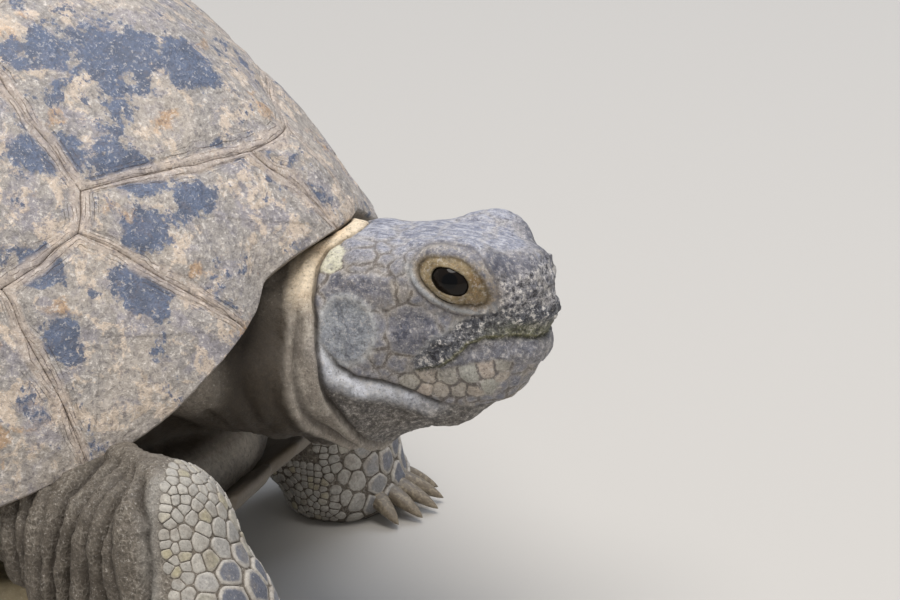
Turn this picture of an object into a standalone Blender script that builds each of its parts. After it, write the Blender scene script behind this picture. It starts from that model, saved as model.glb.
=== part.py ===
"""Mediterranean spur-thighed tortoise (Testudo graeca), adult, standing, life size.

Head towards +X, the animal's right side towards -Y, +Z up, soles on z = 0.
Lengths in the tables are millimetres above the underside of the plastron;
to_world() lifts them by the belly's height over the ground and gives metres.
"""
import bpy
import bmesh
import numpy as np
from mathutils import Vector, Matrix

# ---------------------------------------------------------------- driving dimensions (mm)
CARAPACE_HALF_LENGTH = 98.0
CARAPACE_HALF_WIDTH = 72.0
CARAPACE_HEIGHT = 103.0      # top of the dome over the plastron's underside
CARAPACE_THICKNESS = 3.6
BELLY_CLEARANCE = 17.0       # plastron over the ground
SEAM = 0.3                   # gap between neighbouring pieces
X_SHIFT = -13.6              # brings the middle of the whole length to x = 0
EYE_RADIUS = 4.0
RIM_REACH = {0: .985, 8: .972, 15: .955, 20: .985, 27: 1.015, 36: 1.03, 48: 1.035, 60: 1.02, 80: 1, 180: 1}
RIM_HEIGHT = {0: 55, 8: 54, 15: 51, 20: 47, 27: 42, 36: 34, 46: 27.5, 60: 21, 90: 19, 120: 20, 150: 24, 180: 20}
BULGE = {0: 2.0, 40: 2.2, 90: 2.6, 180: 3.4}
SHOULDER = {0: .86, 25: .84, 40: .70, 70: .56, 90: .52, 180: .52}

for old in list(bpy.data.objects):
    bpy.data.objects.remove(old, do_unlink=True)

parts = bpy.data.collections.new("tortoise")
bpy.context.scene.collection.children.link(parts)
guides = bpy.data.collections.new("guides")
bpy.context.scene.collection.children.link(guides)


def to_world(x, y, z):
    return Vector(((x + X_SHIFT) / 1000, y / 1000, (z + BELLY_CLEARANCE) / 1000))


def material(name, color, roughness, metallic=0.0):
    mat = bpy.data.materials.new(name)
    mat.use_nodes = True
    shader = mat.node_tree.nodes["Principled BSDF"]
    shader.inputs["Base Color"].default_value = (*color, 1)
    shader.inputs["Roughness"].default_value = roughness
    shader.inputs["Metallic"].default_value = metallic
    mat.diffuse_color = (*color, 1)
    return mat


HORN = material("shell_horn", (0.36, 0.29, 0.22), 0.6)
BELLY = material("plastron_horn", (0.42, 0.34, 0.22), 0.55)
HIDE = material("hide", (0.27, 0.25, 0.22), 0.75)
EYE = material("eye", (0.01, 0.01, 0.012), 0.08)
SPUR = material("spur_horn", (0.30, 0.25, 0.18), 0.5)


def evaluated_mesh(obj):
    depsgraph = bpy.context.evaluated_depsgraph_get()
    return bpy.data.meshes.new_from_object(obj.evaluated_get(depsgraph))


def scratch_object(name, mesh):
    obj = bpy.data.objects.new(name, mesh)
    obj.hide_render = True
    obj.display_type = 'WIRE'
    guides.objects.link(obj)
    return obj


def modified(mesh, *steps):
    """The mesh after a list of (modifier type, settings)."""
    obj = scratch_object("work", mesh)
    for kind, settings in steps:
        mod = obj.modifiers.new(kind.lower(), kind)
        for key, value in settings.items():
            setattr(mod, key, value)
    bpy.context.view_layer.update()
    result = evaluated_mesh(obj)
    bpy.data.objects.remove(obj, do_unlink=True)
    return result


def node(name, mesh, mat):
    mesh.name = name
    mesh.materials.clear()
    mesh.materials.append(mat)
    mesh.shade_smooth()
    mesh.set_sharp_from_angle(angle=0.7)
    obj = bpy.data.objects.new(name, mesh)
    parts.objects.link(obj)
    return obj


def cut(mesh, planes):
    """A closed mesh cut to the inner side of each (point, outward normal), every cut capped."""
    bm = bmesh.new()
    bm.from_mesh(mesh)
    for point, normal in planes:
        geom = bm.verts[:] + bm.edges[:] + bm.faces[:]
        bmesh.ops.bisect_plane(bm, geom=geom, dist=1e-8, plane_co=point, plane_no=normal, clear_outer=True)
        open_edges = [e for e in bm.edges if e.is_boundary]
        if open_edges:
            bmesh.ops.holes_fill(bm, edges=open_edges, sides=0)
        big = [f for f in bm.faces if len(f.verts) > 4]
        bmesh.ops.triangulate(bm, faces=big)
    bmesh.ops.remove_doubles(bm, verts=bm.verts[:], dist=2e-5)
    bmesh.ops.dissolve_degenerate(bm, edges=bm.edges[:], dist=2e-5)
    bmesh.ops.triangulate(bm, faces=bm.faces[:])
    bmesh.ops.recalc_face_normals(bm, faces=bm.faces[:])
    out = bpy.data.meshes.new("cut")
    bm.to_mesh(out)
    bm.free()
    return out


# ---------------------------------------------------------------- carapace
def wave(deg, table):
    """Smooth monotone curve through a table of angle from the head -> value, even in the angle."""
    d = abs((deg + 180) % 360 - 180)
    k = sorted(table)
    v = [table[a] for a in k]
    i = min(max(np.searchsorted(k, d, side='right') - 1, 0), len(k) - 2)
    slope = [(v[j + 1] - v[j]) / (k[j + 1] - k[j]) for j in range(len(k) - 1)]

    def tangent(j):
        if j == 0 or j == len(k) - 1 or slope[j - 1] * slope[j] <= 0:
            return 0.0
        return 2 * slope[j - 1] * slope[j] / (slope[j - 1] + slope[j])
    w = k[i + 1] - k[i]
    t = (d - k[i]) / w
    return (v[i] * (1 + 2 * t) * (1 - t) ** 2 + v[i + 1] * t * t * (3 - 2 * t)
            + w * t * (1 - t) * (tangent(i) * (1 - t) - tangent(i + 1) * t))


def dome(deg, s):
    """Outer face of the carapace: angle from the head, s = 0 at the top and 1 at the rim."""
    u = np.radians(deg)
    reach = wave(deg, RIM_REACH)
    z0 = wave(deg, RIM_HEIGHT)
    x = CARAPACE_HALF_LENGTH * np.cos(u) * reach
    y = (CARAPACE_HALF_WIDTH - 5 * np.cos(u)) * np.sin(u) * reach
    z = z0 + (CARAPACE_HEIGHT - z0) * max(1 - s ** wave(deg, BULGE), 0) ** wave(deg, SHOULDER)
    return x * s - 6 * (1 - s), y * s, z


def dome_at_height(deg, lift):
    """The point of the dome lift mm above the rim, in the direction deg."""
    z0 = wave(deg, RIM_HEIGHT)
    h = lift / (CARAPACE_HEIGHT - z0)
    return dome(deg, (1 - h ** (1 / wave(deg, SHOULDER))) ** (1 / wave(deg, BULGE)))


def carapace_mesh(grow=0.0):
    bm = bmesh.new()
    bmesh.ops.create_uvsphere(bm, u_segments=44, v_segments=22, radius=1.0)
    bmesh.ops.delete(bm, geom=[v for v in bm.verts if v.co.z < -0.01], context='VERTS')
    for v in bm.verts:
        s = min(np.hypot(v.co.x, v.co.y), 1.0)
        v.co = to_world(*dome(np.degrees(np.arctan2(v.co.y, v.co.x)), s ** 0.9))
    bmesh.ops.recalc_face_normals(bm, faces=bm.faces[:])
    if sum(f.normal.z for f in bm.faces) < 0:
        bmesh.ops.reverse_faces(bm, faces=bm.faces[:])
    if grow:
        bm.normal_update()
        normals = [v.normal.copy() for v in bm.verts]
        for v, n in zip(bm.verts, normals):
            if v.is_boundary:
                above = [e.other_vert(v) for e in v.link_edges if not e.is_boundary][0]
                v.co += (v.co - above.co).normalized() * grow / 1000
        for v, n in zip(bm.verts, normals):
            v.co += n * grow / 1000
    mesh = bpy.data.meshes.new("dome")
    bm.to_mesh(mesh)
    bm.free()
    return modified(mesh, ('SOLIDIFY', dict(thickness=(CARAPACE_THICKNESS + 2 * grow) / 1000, offset=-1,
                                            use_even_offset=True, use_quality_normals=True)))


# Seam junctions, named by the plates that meet there; right side (-Y), mirrored for the left.
MARGINAL_SEAMS = [3, 22.2, 42.8, 57, 71, 85.5, 100, 114.5, 129, 144, 159, 173.5]   # degrees from the head
MARGINAL_TOPS = [0, 0, 0, 30, 26, 22, 21, 21, 23, 26, 28, 27]                      # mm above the rim
junction = {
    'V1.M1.N': (83.4, -6.0, 67.0), 'V1.C1.M1': (67.0, -31.5, 66.7), 'C1.M1.M2': (68.5, -35.8, 61.6),
    'C1.M2.M3': (60.5, -46.7, 55.6), 'V1.V2.C1': (45, -24.5, 88), 'V2.C1.C2': (29, -30, 91.5),
    'V2.V3.C2': (11, -25.5, 98.5), 'V3.C2.C3': (-8, -30, 97.5), 'V3.V4.C3': (-27, -25.5, 99),
    'V4.C3.C4': (-45, -28, 95), 'V4.V5.C4': (-61, -19, 92.5),
}
for k, (deg, lift) in enumerate(zip(MARGINAL_SEAMS, MARGINAL_TOPS)):
    junction[f'rim{k}'] = dome(-deg, 1.0)
    if lift:
        junction[f'top{k}'] = dome_at_height(-deg, lift)
for k, name in ((5, 'C1.C2.M5'), (7, 'C2.C3.M7'), (9, 'C3.C4.M9')):
    lift = (MARGINAL_TOPS[k - 1] + MARGINAL_TOPS[k]) / 2 + 1.2
    junction[name] = dome_at_height(-(MARGINAL_SEAMS[k - 1] + MARGINAL_SEAMS[k]) / 2, lift)
junction['C4.V5.M11'] = dome_at_height(-164.0, 29.5)

# Each plate's borders as chains of junctions; the rim side of a marginal stays open.
RIGHT_PLATES = {
    'costal_{}_1': ['V1.C1.M1', 'C1.M1.M2', 'C1.M2.M3', 'top3', 'top4', 'C1.C2.M5', 'V2.C1.C2', 'V1.V2.C1', 'V1.C1.M1'],
    'costal_{}_2': ['C1.C2.M5', 'top5', 'top6', 'C2.C3.M7', 'V3.C2.C3', 'V2.V3.C2', 'V2.C1.C2', 'C1.C2.M5'],
    'costal_{}_3': ['C2.C3.M7', 'top7', 'top8', 'C3.C4.M9', 'V4.C3.C4', 'V3.V4.C3', 'V3.C2.C3', 'C2.C3.M7'],
    'costal_{}_4': ['C3.C4.M9', 'top9', 'top10', 'C4.V5.M11', 'V4.V5.C4', 'V4.C3.C4', 'C3.C4.M9'],
    'marginal_{}_1': ['rim0', 'V1.M1.N', 'V1.C1.M1', 'C1.M1.M2', 'rim1'],
    'marginal_{}_2': ['rim1', 'C1.M1.M2', 'C1.M2.M3', 'rim2'],
    'marginal_{}_3': ['rim2', 'C1.M2.M3', 'top3', 'rim3'],
    'marginal_{}_4': ['rim3', 'top3', 'top4', 'rim4'],
    'marginal_{}_5': ['rim4', 'top4', 'C1.C2.M5', 'top5', 'rim5'],
    'marginal_{}_6': ['rim5', 'top5', 'top6', 'rim6'],
    'marginal_{}_7': ['rim6', 'top6', 'C2.C3.M7', 'top7', 'rim7'],
    'marginal_{}_8': ['rim7', 'top7', 'top8', 'rim8'],
    'marginal_{}_9': ['rim8', 'top8', 'C3.C4.M9', 'top9', 'rim9'],
    'marginal_{}_10': ['rim9', 'top9', 'top10', 'rim10'],
    'marginal_{}_11': ['rim10', 'top10', 'C4.V5.M11', 'top11', 'rim11'],
}
MIDDLE_PLATES = {
    'nuchal': ['rim0', 'V1.M1.N', '-V1.M1.N', '-rim0'],
    'vertebral_1': ['V1.M1.N', 'V1.C1.M1', 'V1.V2.C1', '-V1.V2.C1', '-V1.C1.M1', '-V1.M1.N', 'V1.M1.N'],
    'vertebral_2': ['V1.V2.C1', 'V2.C1.C2', 'V2.V3.C2', '-V2.V3.C2', '-V2.C1.C2', '-V1.V2.C1', 'V1.V2.C1'],
    'vertebral_3': ['V2.V3.C2', 'V3.C2.C3', 'V3.V4.C3', '-V3.V4.C3', '-V3.C2.C3', '-V2.V3.C2', 'V2.V3.C2'],
    'vertebral_4': ['V3.V4.C3', 'V4.C3.C4', 'V4.V5.C4', '-V4.V5.C4', '-V4.C3.C4', '-V3.V4.C3', 'V3.V4.C3'],
    'vertebral_5': ['V4.V5.C4', 'C4.V5.M11', 'top11', '-top11', '-C4.V5.M11', '-V4.V5.C4', 'V4.V5.C4'],
    'supracaudal': ['rim11', 'top11', '-top11', '-rim11'],
}
HEART = Vector((-6.0, 0.0, 20.0))     # every seam plane passes through this point


def seam_planes(chain, flip, gap=SEAM):
    corners = []
    for name in chain:
        p = Vector(junction[name.lstrip('-')])
        if name.startswith('-') != flip:
            p.y = -p.y
        corners.append(p - HEART)
    inside = sum(corners, Vector()).normalized()
    planes = []
    for a, b in zip(corners, corners[1:]):
        n = a.cross(b).normalized()
        if n.dot(inside) > 0:
            n = -n
        for c in corners:
            if n.dot(c) > 0.6:
                print("REFLEX", chain, round(n.dot(c), 2))
        planes.append((to_world(*(HEART - n * gap / 2)), n))
    return planes


carapace = carapace_mesh()
for name, chain in MIDDLE_PLATES.items():
    node(name, cut(carapace, seam_planes(chain, False)), HORN)
for side, flip in (('right', False), ('left', True)):
    for name, chain in RIGHT_PLATES.items():
        node(name.format(side), cut(carapace, seam_planes(chain, flip)), HORN)


# ---------------------------------------------------------------- plastron and bridges
LOBE_WIDTH = [(-89, 13), (-84, 24), (-72, 34), (-56, 41), (-46, 45), (-37, 50.5), (0, 50.5), (45, 50.5),
              (50, 46), (60, 40), (72, 31), (80, 24), (85, 19)]
PLASTRON_THICKNESS = 5.0
HINGE_X = -31.0              # the hind lobe's soft hinge


def plastron_rise(x):
    return 0.016 * max(x - 58, 0) ** 2 + 0.004 * max(-58 - x, 0) ** 2


def plastron_mesh(x0, x1, grow=0.0, columns=11):
    """A plate from x0 to x1, as wide as the lobes, turned up at the throat and the tail."""
    bm = bmesh.new()
    bmesh.ops.create_grid(bm, x_segments=columns, y_segments=8, size=1.0)
    for v in bm.verts:
        t = v.co.y
        x = x0 - grow + (x1 - x0 + 2 * grow) * (v.co.x + 1) / 2
        width = np.interp(x, [a for a, b in LOBE_WIDTH], [b for a, b in LOBE_WIDTH]) + grow
        if x0 < -80:
            x += 7 * max(1 - abs(t) * width / 11, 0) * max((-x - 66) / 22, 0)
        if x1 > 80:
            x -= 2.5 * max(1 - abs(t) * width / 5, 0) * max((x - 76) / 9, 0)
        v.co = to_world(x, width * t, plastron_rise(x) - grow)
    bmesh.ops.recalc_face_normals(bm, faces=bm.faces[:])
    if sum(f.normal.z for f in bm.faces) > 0:
        bmesh.ops.reverse_faces(bm, faces=bm.faces[:])
    mesh = bpy.data.meshes.new("plate")
    bm.to_mesh(mesh)
    bm.free()
    return modified(mesh, ('SOLIDIFY', dict(thickness=(PLASTRON_THICKNESS + 2 * grow) / 1000, offset=-1)))


def bridge_mesh(side, grow=0.0):
    """The shell's side between the plastron and the rim, rounded under."""
    bm = bmesh.new()
    bmesh.ops.create_grid(bm, x_segments=9, y_segments=5, size=1.0)
    for v in bm.verts:
        x = -36 - grow + (80 + 2 * grow) * (v.co.x + 1) / 2
        t = (v.co.y + 1) / 4 * np.pi
        deg = np.degrees(np.arccos(np.clip(x / CARAPACE_HALF_LENGTH, -1, 1)))
        rim_x, rim_y, rim_z = dome(deg, 1.0)
        rim_y -= 0.4
        low = np.interp(x, [a for a, b in LOBE_WIDTH], [b for a, b in LOBE_WIDTH]) + 1.3 - grow
        y = low + (rim_y - low + grow) * np.sin(t)
        z = -grow + (rim_z - 1.2 + 2 * grow) * (1 - np.cos(t))
        v.co = to_world(x, side * y, z)
    bmesh.ops.recalc_face_normals(bm, faces=bm.faces[:])
    if sum(f.normal.z for f in bm.faces) > 0:
        bmesh.ops.reverse_faces(bm, faces=bm.faces[:])
    mesh = bpy.data.meshes.new("bridge")
    bm.to_mesh(mesh)
    bm.free()
    return modified(mesh, ('SOLIDIFY', dict(thickness=(4.0 + 2 * grow) / 1000, offset=-1)))


node("plastron_front", cut(plastron_mesh(HINGE_X + SEAM / 2, 85), []), BELLY)
node("plastron_hind", cut(plastron_mesh(-89, HINGE_X - SEAM / 2), []), BELLY)
node("bridge_left", cut(bridge_mesh(1), []), BELLY)
node("bridge_right", cut(bridge_mesh(-1), []), BELLY)

# ---------------------------------------------------------------- flesh
# Rounded masses as (centre, radii); a limb or neck is a run of them, each pair joined by its hull.
HEAD = [
    [((103, 0, 46), (12, 12.6, 9.8)), ((114, 0, 49.5), (11, 10.2, 7.2)), ((122.8, 0, 48.4), (7.9, 7.4, 7.2))],
    [((116.5, -6.2, 51.8), (7.2, 4.2, 4.8))],
    [((116.5, 6.2, 51.8), (7.2, 4.2, 4.8))],
    [((121, 0, 43.5), (9.5, 8.0, 6.0)), ((125.8, 0, 46.5), (4.6, 4.6, 5.6))],
    [((103, 0, 40), (10, 13.4, 9.5)), ((113, 0, 41.5), (10, 11.2, 7.5))],
    [((107, 0, 35.5), (11, 11.6, 7.2)), ((119.5, 0, 36.4), (9.4, 7.8, 6.6))],
    [((101, 0, 31), (9, 11.5, 10.6)), ((111, 0, 31.4), (9.5, 8.5, 7.4))],
]
NECK = [
    [((101, 0, 37.2), (7, 13.6, 17.8)), ((94, 0, 36.6), (8, 15.5, 17.6)), ((84, 0, 37), (10, 19, 16.5)),
     ((68, 0, 38), (14, 25, 19))],
    [((90, -11, 31), (8, 9, 10)), ((75, -23, 30), (11, 13, 12))],
    [((90, 11, 31), (8, 9, 10)), ((75, 23, 30), (11, 13, 12))],
]
TRUNK = [[((-6, 0, 50), (74, 46, 42))], [((44, 0, 34), (34, 44, 27))], [((-54, 0, 29), (32, 40, 22))]]
TAIL = [[((-76, 0, 22), (12, 12, 11)), ((-91, 0, 14.5), (8, 7, 6.5)), ((-99, 2, 5), (4.6, 4.4, 5)),
         ((-101, 3.5, -2), (2.6, 2.5, 3))]]


def foreleg(side, elbow, wrist, foot):
    """Shoulder to foot; elbow, wrist and foot are (x, distance from the middle, z)."""
    ex, ey, ez = elbow
    wx, wy, wz = wrist
    fx, fy, fz = foot
    mx, my, mz = (ex + wx) / 2, (ey + wy) / 2, (ez + wz) / 2
    return [
        [((58, side * 34, 24), (14, 13, 14)), ((ex - 15, side * (ey - 8), ez - 5), (14, 12, 12)),
         ((ex, side * ey, ez), (10.8, 11, 11))],
        [((ex, side * ey, ez), (10.8, 11, 11)), ((mx, side * my, mz), (10.6, 11.6, 11)),
         ((wx, side * wy, wz), (9.6, 11.4, 9))],
        [((ex - 12, side * (ey - 3), ez - 9), (11, 9.5, 9.5)), ((mx - 4, side * my, mz - 5), (9.5, 10, 9)),
         ((wx - 4, side * wy, wz - 3), (9, 10.6, 8))],
        [((wx, side * wy, wz), (9.6, 11.4, 9)), ((fx, side * fy, fz), (10, 12.4, 6.5))],
    ]


def hindleg(side, step):
    """Hip, knee and foot of the column-like hind leg; step moves the foot along x."""
    def at(x, y, z, share=1.0):
        return (x + step * share, side * y, z)
    return [
        [(at(-52, 32, 22, 0), (15, 14, 14)), (at(-62, 47, 15, .5), (14, 12, 12.5)), (at(-67, 54, 4, .9), (11.5, 11, 12))],
        [(at(-67, 54, 4, .9), (11.5, 11, 12)), (at(-69, 56, -8), (10.5, 10.2, 9))],
        [(at(-69, 56, -8), (10.5, 10.2, 9)), (at(-66.5, 56.5, -14), (11.6, 10.6, 5.2))],
    ]


LEGS = {'foreleg_right': foreleg(-1, (86.6, 52, 22), (101.5, 57, -1), (105, 57.5, -13)),
        'foreleg_left': foreleg(1, (67, 51.5, 13), (68.5, 56, -3), (71, 56.5, -13)),
        'hindleg_right': hindleg(-1, -4), 'hindleg_left': hindleg(1, 8)}


def ball(bm, centre, radii, segments=20):
    made = bmesh.ops.create_uvsphere(bm, u_segments=segments, v_segments=segments // 2 + 2, radius=1.0)
    for v in made['verts']:
        v.co = to_world(centre[0] + v.co.x * radii[0], centre[1] + v.co.y * radii[1], centre[2] + v.co.z * radii[2])
    return made['verts']


def add_run(bm, run):
    """Each neighbouring pair of masses in the run wrapped in one hull."""
    pairs = list(zip(run, run[1:])) or [(run[0], run[0])]
    for a, b in pairs:
        one = bmesh.new()
        ball(one, *a)
        if b is not a:
            ball(one, *b)
            hull = bmesh.ops.convex_hull(one, input=one.verts[:])
            junk = {g for g in hull['geom_interior'] + hull['geom_unused'] if isinstance(g, bmesh.types.BMVert)}
            bmesh.ops.delete(one, geom=list(junk), context='VERTS')
        piece = bpy.data.meshes.new("hull")
        one.to_mesh(piece)
        one.free()
        bm.from_mesh(piece)
        bpy.data.meshes.remove(piece)


def soft_form(groups, grain, rounds, keep):
    """All runs melted into one closed skin: grain is the remesh size in mm, keep the share of faces left."""
    bm = bmesh.new()
    for group in groups:
        for run in group:
            add_run(bm, run)
    mesh = bpy.data.meshes.new("form")
    bm.to_mesh(mesh)
    bm.free()
    return modified(mesh, ('REMESH', dict(mode='VOXEL', voxel_size=grain / 1000)),
                    ('SMOOTH', dict(factor=0.5, iterations=rounds)),
                    ('DECIMATE', dict(ratio=keep)))


flesh = soft_form([HEAD, NECK, TRUNK, TAIL, *LEGS.values()], 1.7, 5, 0.04)
skull = soft_form([HEAD, NECK], 1.2, 5, 0.055)

# The room the shell takes, a little larger than the shell, is cut out of the flesh.
rooms = [scratch_object("carapace_room", carapace_mesh(0.8))]
for mesh in (plastron_mesh(-89, 85, 0.9, 60), bridge_mesh(1, 0.7), bridge_mesh(-1, 0.7)):
    rooms.append(scratch_object("room", mesh))
flesh = modified(flesh, *[('BOOLEAN', dict(operation='DIFFERENCE', solver='EXACT', object=room)) for room in rooms])


def largest_body(mesh):
    bm = bmesh.new()
    bm.from_mesh(mesh)
    left = set(bm.verts)
    best = set()
    while left:
        stack = [left.pop()]
        seen = set(stack)
        while stack:
            for e in stack.pop().link_edges:
                for w in e.verts:
                    if w not in seen:
                        seen.add(w)
                        stack.append(w)
        left -= seen
        if len(seen) > len(best):
            best = seen
    bmesh.ops.delete(bm, geom=[v for v in bm.verts if v not in best], context='VERTS')
    out = bpy.data.meshes.new("body")
    bm.to_mesh(out)
    bm.free()
    return out


def plane(point, normal):
    n = Vector(normal).normalized()
    return to_world(*(Vector(point) - n * SEAM / 2)), n


FLOOR = (Vector((0, 0, 0)), Vector((0, 0, -1)))
NAPE = ((99.5, 0, 42), (-1, 0, 0.22))
NECK_ROOT = ((72, 0, 36), (-1, 0, 0))
NECK_SIDES = {-1: ((72, -26, 20), (0, 1, 0)), 1: ((72, 26, 20), (0, -1, 0))}
FRONT_PLANES = {-1: ((72, -26, 20), (-0.55, 0.83, 0.0)), 1: ((72, 26, 20), (-0.55, -0.83, 0.0))}
HIND_PLANES = {-1: ((-55, -38, 20), (0.45, 0.89, 0.0)), 1: ((-55, 38, 20), (0.45, -0.89, 0.0))}
TAIL_ROOT = ((-80, 0, 20), (1, 0, 0))


def away(p):
    return p[0], tuple(-c for c in p[1])


whole = largest_body(flesh)
head = cut(skull, [plane(*NAPE)])
neck = cut(whole, [plane(*away(NAPE)), plane(*NECK_ROOT), plane(*away(NECK_SIDES[-1])), plane(*away(NECK_SIDES[1]))])
trunk = cut(whole, [plane(*away(NECK_ROOT)), plane(*away(FRONT_PLANES[-1])), plane(*away(FRONT_PLANES[1])),
                    plane(*away(HIND_PLANES[-1])), plane(*away(HIND_PLANES[1])), plane(*away(TAIL_ROOT))])
tail = cut(whole, [plane(*TAIL_ROOT), plane(*away(HIND_PLANES[-1])), plane(*away(HIND_PLANES[1]))])
node("neck", largest_body(neck), HIDE)
node("trunk", cut(modified(largest_body(trunk), ('DECIMATE', dict(ratio=0.45))), []), HIDE)
node("tail", largest_body(tail), HIDE)

# Eyes sit in their sockets.
eye_centre = {-1: (116.6, -7.4, 50.6), 1: (116.6, 7.4, 50.6)}
sockets = []
for side, name in ((-1, "eye_right"), (1, "eye_left")):
    bm = bmesh.new()
    ball(bm, eye_centre[side], (EYE_RADIUS + 0.4,) * 3, 16)
    mesh = bpy.data.meshes.new("socket")
    bm.to_mesh(mesh)
    bm.free()
    sockets.append(scratch_object("socket", mesh))
    bm = bmesh.new()
    ball(bm, eye_centre[side], (EYE_RADIUS,) * 3, 12)
    mesh = bpy.data.meshes.new("eye")
    bm.to_mesh(mesh)
    bm.free()
    node(name, mesh, EYE)
head = modified(largest_body(head),
                *[('BOOLEAN', dict(operation='DIFFERENCE', solver='EXACT', object=s)) for s in sockets])
node("head", cut(head, []), HIDE)


# Claws, five on a forefoot and four on a hind foot, are one with the foot.
def claw(name, base, tip, radius):
    a, b = to_world(*base), to_world(*tip)
    axis = b - a
    bm = bmesh.new()
    bmesh.ops.create_cone(bm, cap_ends=True, segments=9, radius1=radius / 1000, radius2=0.0005, depth=axis.length)
    turn = Vector((0, 0, 1)).rotation_difference(axis.normalized()).to_matrix().to_4x4()
    bmesh.ops.transform(bm, matrix=Matrix.Translation((a + b) / 2) @ turn, verts=bm.verts[:])
    mesh = bpy.data.meshes.new(name)
    bm.to_mesh(mesh)
    bm.free()
    return scratch_object(name, mesh)


FOOT = {'foreleg_right': (105, -57.5, 5), 'foreleg_left': (71, 56.5, 5),
        'hindleg_right': (-70.5, -56.5, 4), 'hindleg_left': (-58.5, 56.5, 4)}
for name, side in (('foreleg_right', -1), ('foreleg_left', 1), ('hindleg_right', -1), ('hindleg_left', 1)):
    front = name.startswith('fore')
    split = FRONT_PLANES[side] if front else HIND_PLANES[side]
    half = plane(*NECK_SIDES[side]) if front else plane((0, 0, 0), (1, 0, 0))
    leg = largest_body(cut(whole, [plane(*split), half, FLOOR]))
    fx, fy, count = FOOT[name]
    claws = []
    for k in range(count):
        t = (k - (count - 1) / 2) / ((count - 1) / 2)
        turn = np.radians(38 * t)
        dx, dy = np.cos(turn), np.sin(turn)
        reach = 8.0 if front else 9.5
        base = (fx + dx * (reach - 3), fy + dy * (reach - 2.5), -12.2)
        tip = (fx + dx * (reach + 8.5), fy + dy * (reach + 6.0), -15.8)
        claws.append(claw("claw", base, tip, 2.3))
    leg = modified(leg, *[('BOOLEAN', dict(operation='UNION', solver='EXACT', object=c)) for c in claws])
    node(name, cut(leg, [FLOOR]), HIDE)

for guide in list(guides.objects):
    bpy.data.objects.remove(guide, do_unlink=True)
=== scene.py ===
"""Mediterranean spur-thighed tortoise (Testudo graeca), adult, standing: the finish over its solids.

Tables and shapes are in millimetres over the plastron's underside, head towards +X and the
animal's right towards -Y; in_metres() takes them to the frame of the solids.
"""
import bpy
import bmesh
import numpy as np
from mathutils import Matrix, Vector


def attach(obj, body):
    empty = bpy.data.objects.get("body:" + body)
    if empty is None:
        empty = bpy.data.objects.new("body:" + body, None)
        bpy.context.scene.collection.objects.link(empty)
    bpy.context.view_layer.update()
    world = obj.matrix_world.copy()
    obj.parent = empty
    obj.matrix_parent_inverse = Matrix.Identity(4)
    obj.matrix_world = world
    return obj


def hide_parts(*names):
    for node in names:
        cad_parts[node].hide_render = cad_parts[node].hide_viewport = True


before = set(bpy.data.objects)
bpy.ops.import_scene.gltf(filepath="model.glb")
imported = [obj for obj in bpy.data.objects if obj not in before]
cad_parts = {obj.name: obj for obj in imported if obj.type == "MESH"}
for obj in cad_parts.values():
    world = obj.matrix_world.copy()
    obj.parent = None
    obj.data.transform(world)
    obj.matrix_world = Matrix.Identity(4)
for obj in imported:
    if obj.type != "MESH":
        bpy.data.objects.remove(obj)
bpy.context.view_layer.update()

# ------------------------------------------------------------------ carapace plates
# Thirty-seven horn plates over the bony dome, pale and weathered, with slate blotches and
# fine growth lines along the seams. Each is a closed shell of rings round its oldest part.
HALF_LENGTH, HALF_WIDTH, DOME_TOP = 98.0, 72.0, 103.0
HORN_THICKNESS = 3.6
BELLY_CLEARANCE, MIDDLE_X = 17.0, -13.6
# The dome's outline, rim height and roundness: angle from the head in degrees -> value.
RIM_REACH = {0: .985, 8: .972, 15: .955, 20: .985, 27: 1.015, 36: 1.03, 48: 1.035, 60: 1.02, 80: 1,
             180: 1}
RIM_HEIGHT = {0: 55, 8: 54, 15: 51, 20: 47, 27: 42, 36: 34, 46: 27.5, 60: 21, 90: 19, 120: 20,
              150: 24, 180: 20}
BULGE = {0: 2.0, 40: 2.2, 90: 2.6, 180: 3.4}
SHOULDER = {0: .86, 25: .84, 40: .70, 70: .56, 90: .52, 180: .52}
HEART = np.array((-6.0, 0.0, 20.0))      # every seam's plane passes through this point


def in_metres(points):
    return (np.asarray(points, float) + (MIDDLE_X, 0, BELLY_CLEARANCE)) / 1000


def unit(v):
    return v / np.maximum(np.linalg.norm(v, axis=-1, keepdims=True), 1e-12)


def fade(low, high, x):
    """0 below low, 1 above high, smooth between; low may be the larger."""
    t = np.clip((x - low) / (high - low), 0, 1)
    return t * t * (3 - 2 * t)


def hump(x, width):
    return np.exp(-(x / width) ** 2)


def wave(deg, table):
    """Smooth monotone curve through a table of angle from the head -> value, even in the angle."""
    d = abs((np.asarray(deg, float) + 180) % 360 - 180)
    k = np.array(sorted(table), float)
    v = np.array([table[a] for a in sorted(table)], float)
    slope = np.diff(v) / np.diff(k)
    product = slope[:-1] * slope[1:]
    tangent = np.zeros(len(k))
    same = product > 0
    tangent[1:-1][same] = 2 * product[same] / (slope[:-1] + slope[1:])[same]
    i = np.clip(np.searchsorted(k, d, side='right') - 1, 0, len(k) - 2)
    w = k[i + 1] - k[i]
    t = (d - k[i]) / w
    return (v[i] * (1 + 2 * t) * (1 - t) ** 2 + v[i + 1] * t * t * (3 - 2 * t)
            + w * t * (1 - t) * (tangent[i] * (1 - t) - tangent[i + 1] * t))


def dome(deg, s):
    """Outer face of the carapace: angle from the head, s = 0 at the top and 1 at the rim."""
    u = np.radians(deg)
    reach, z0 = wave(deg, RIM_REACH), wave(deg, RIM_HEIGHT)
    x = HALF_LENGTH * np.cos(u) * reach
    y = (HALF_WIDTH - 5 * np.cos(u)) * np.sin(u) * reach
    z = z0 + (DOME_TOP - z0) * np.clip(1 - s ** wave(deg, BULGE), 0, 1) ** wave(deg, SHOULDER)
    return np.stack([x * s + HEART[0] * (1 - s), y * s, z], -1)


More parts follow.
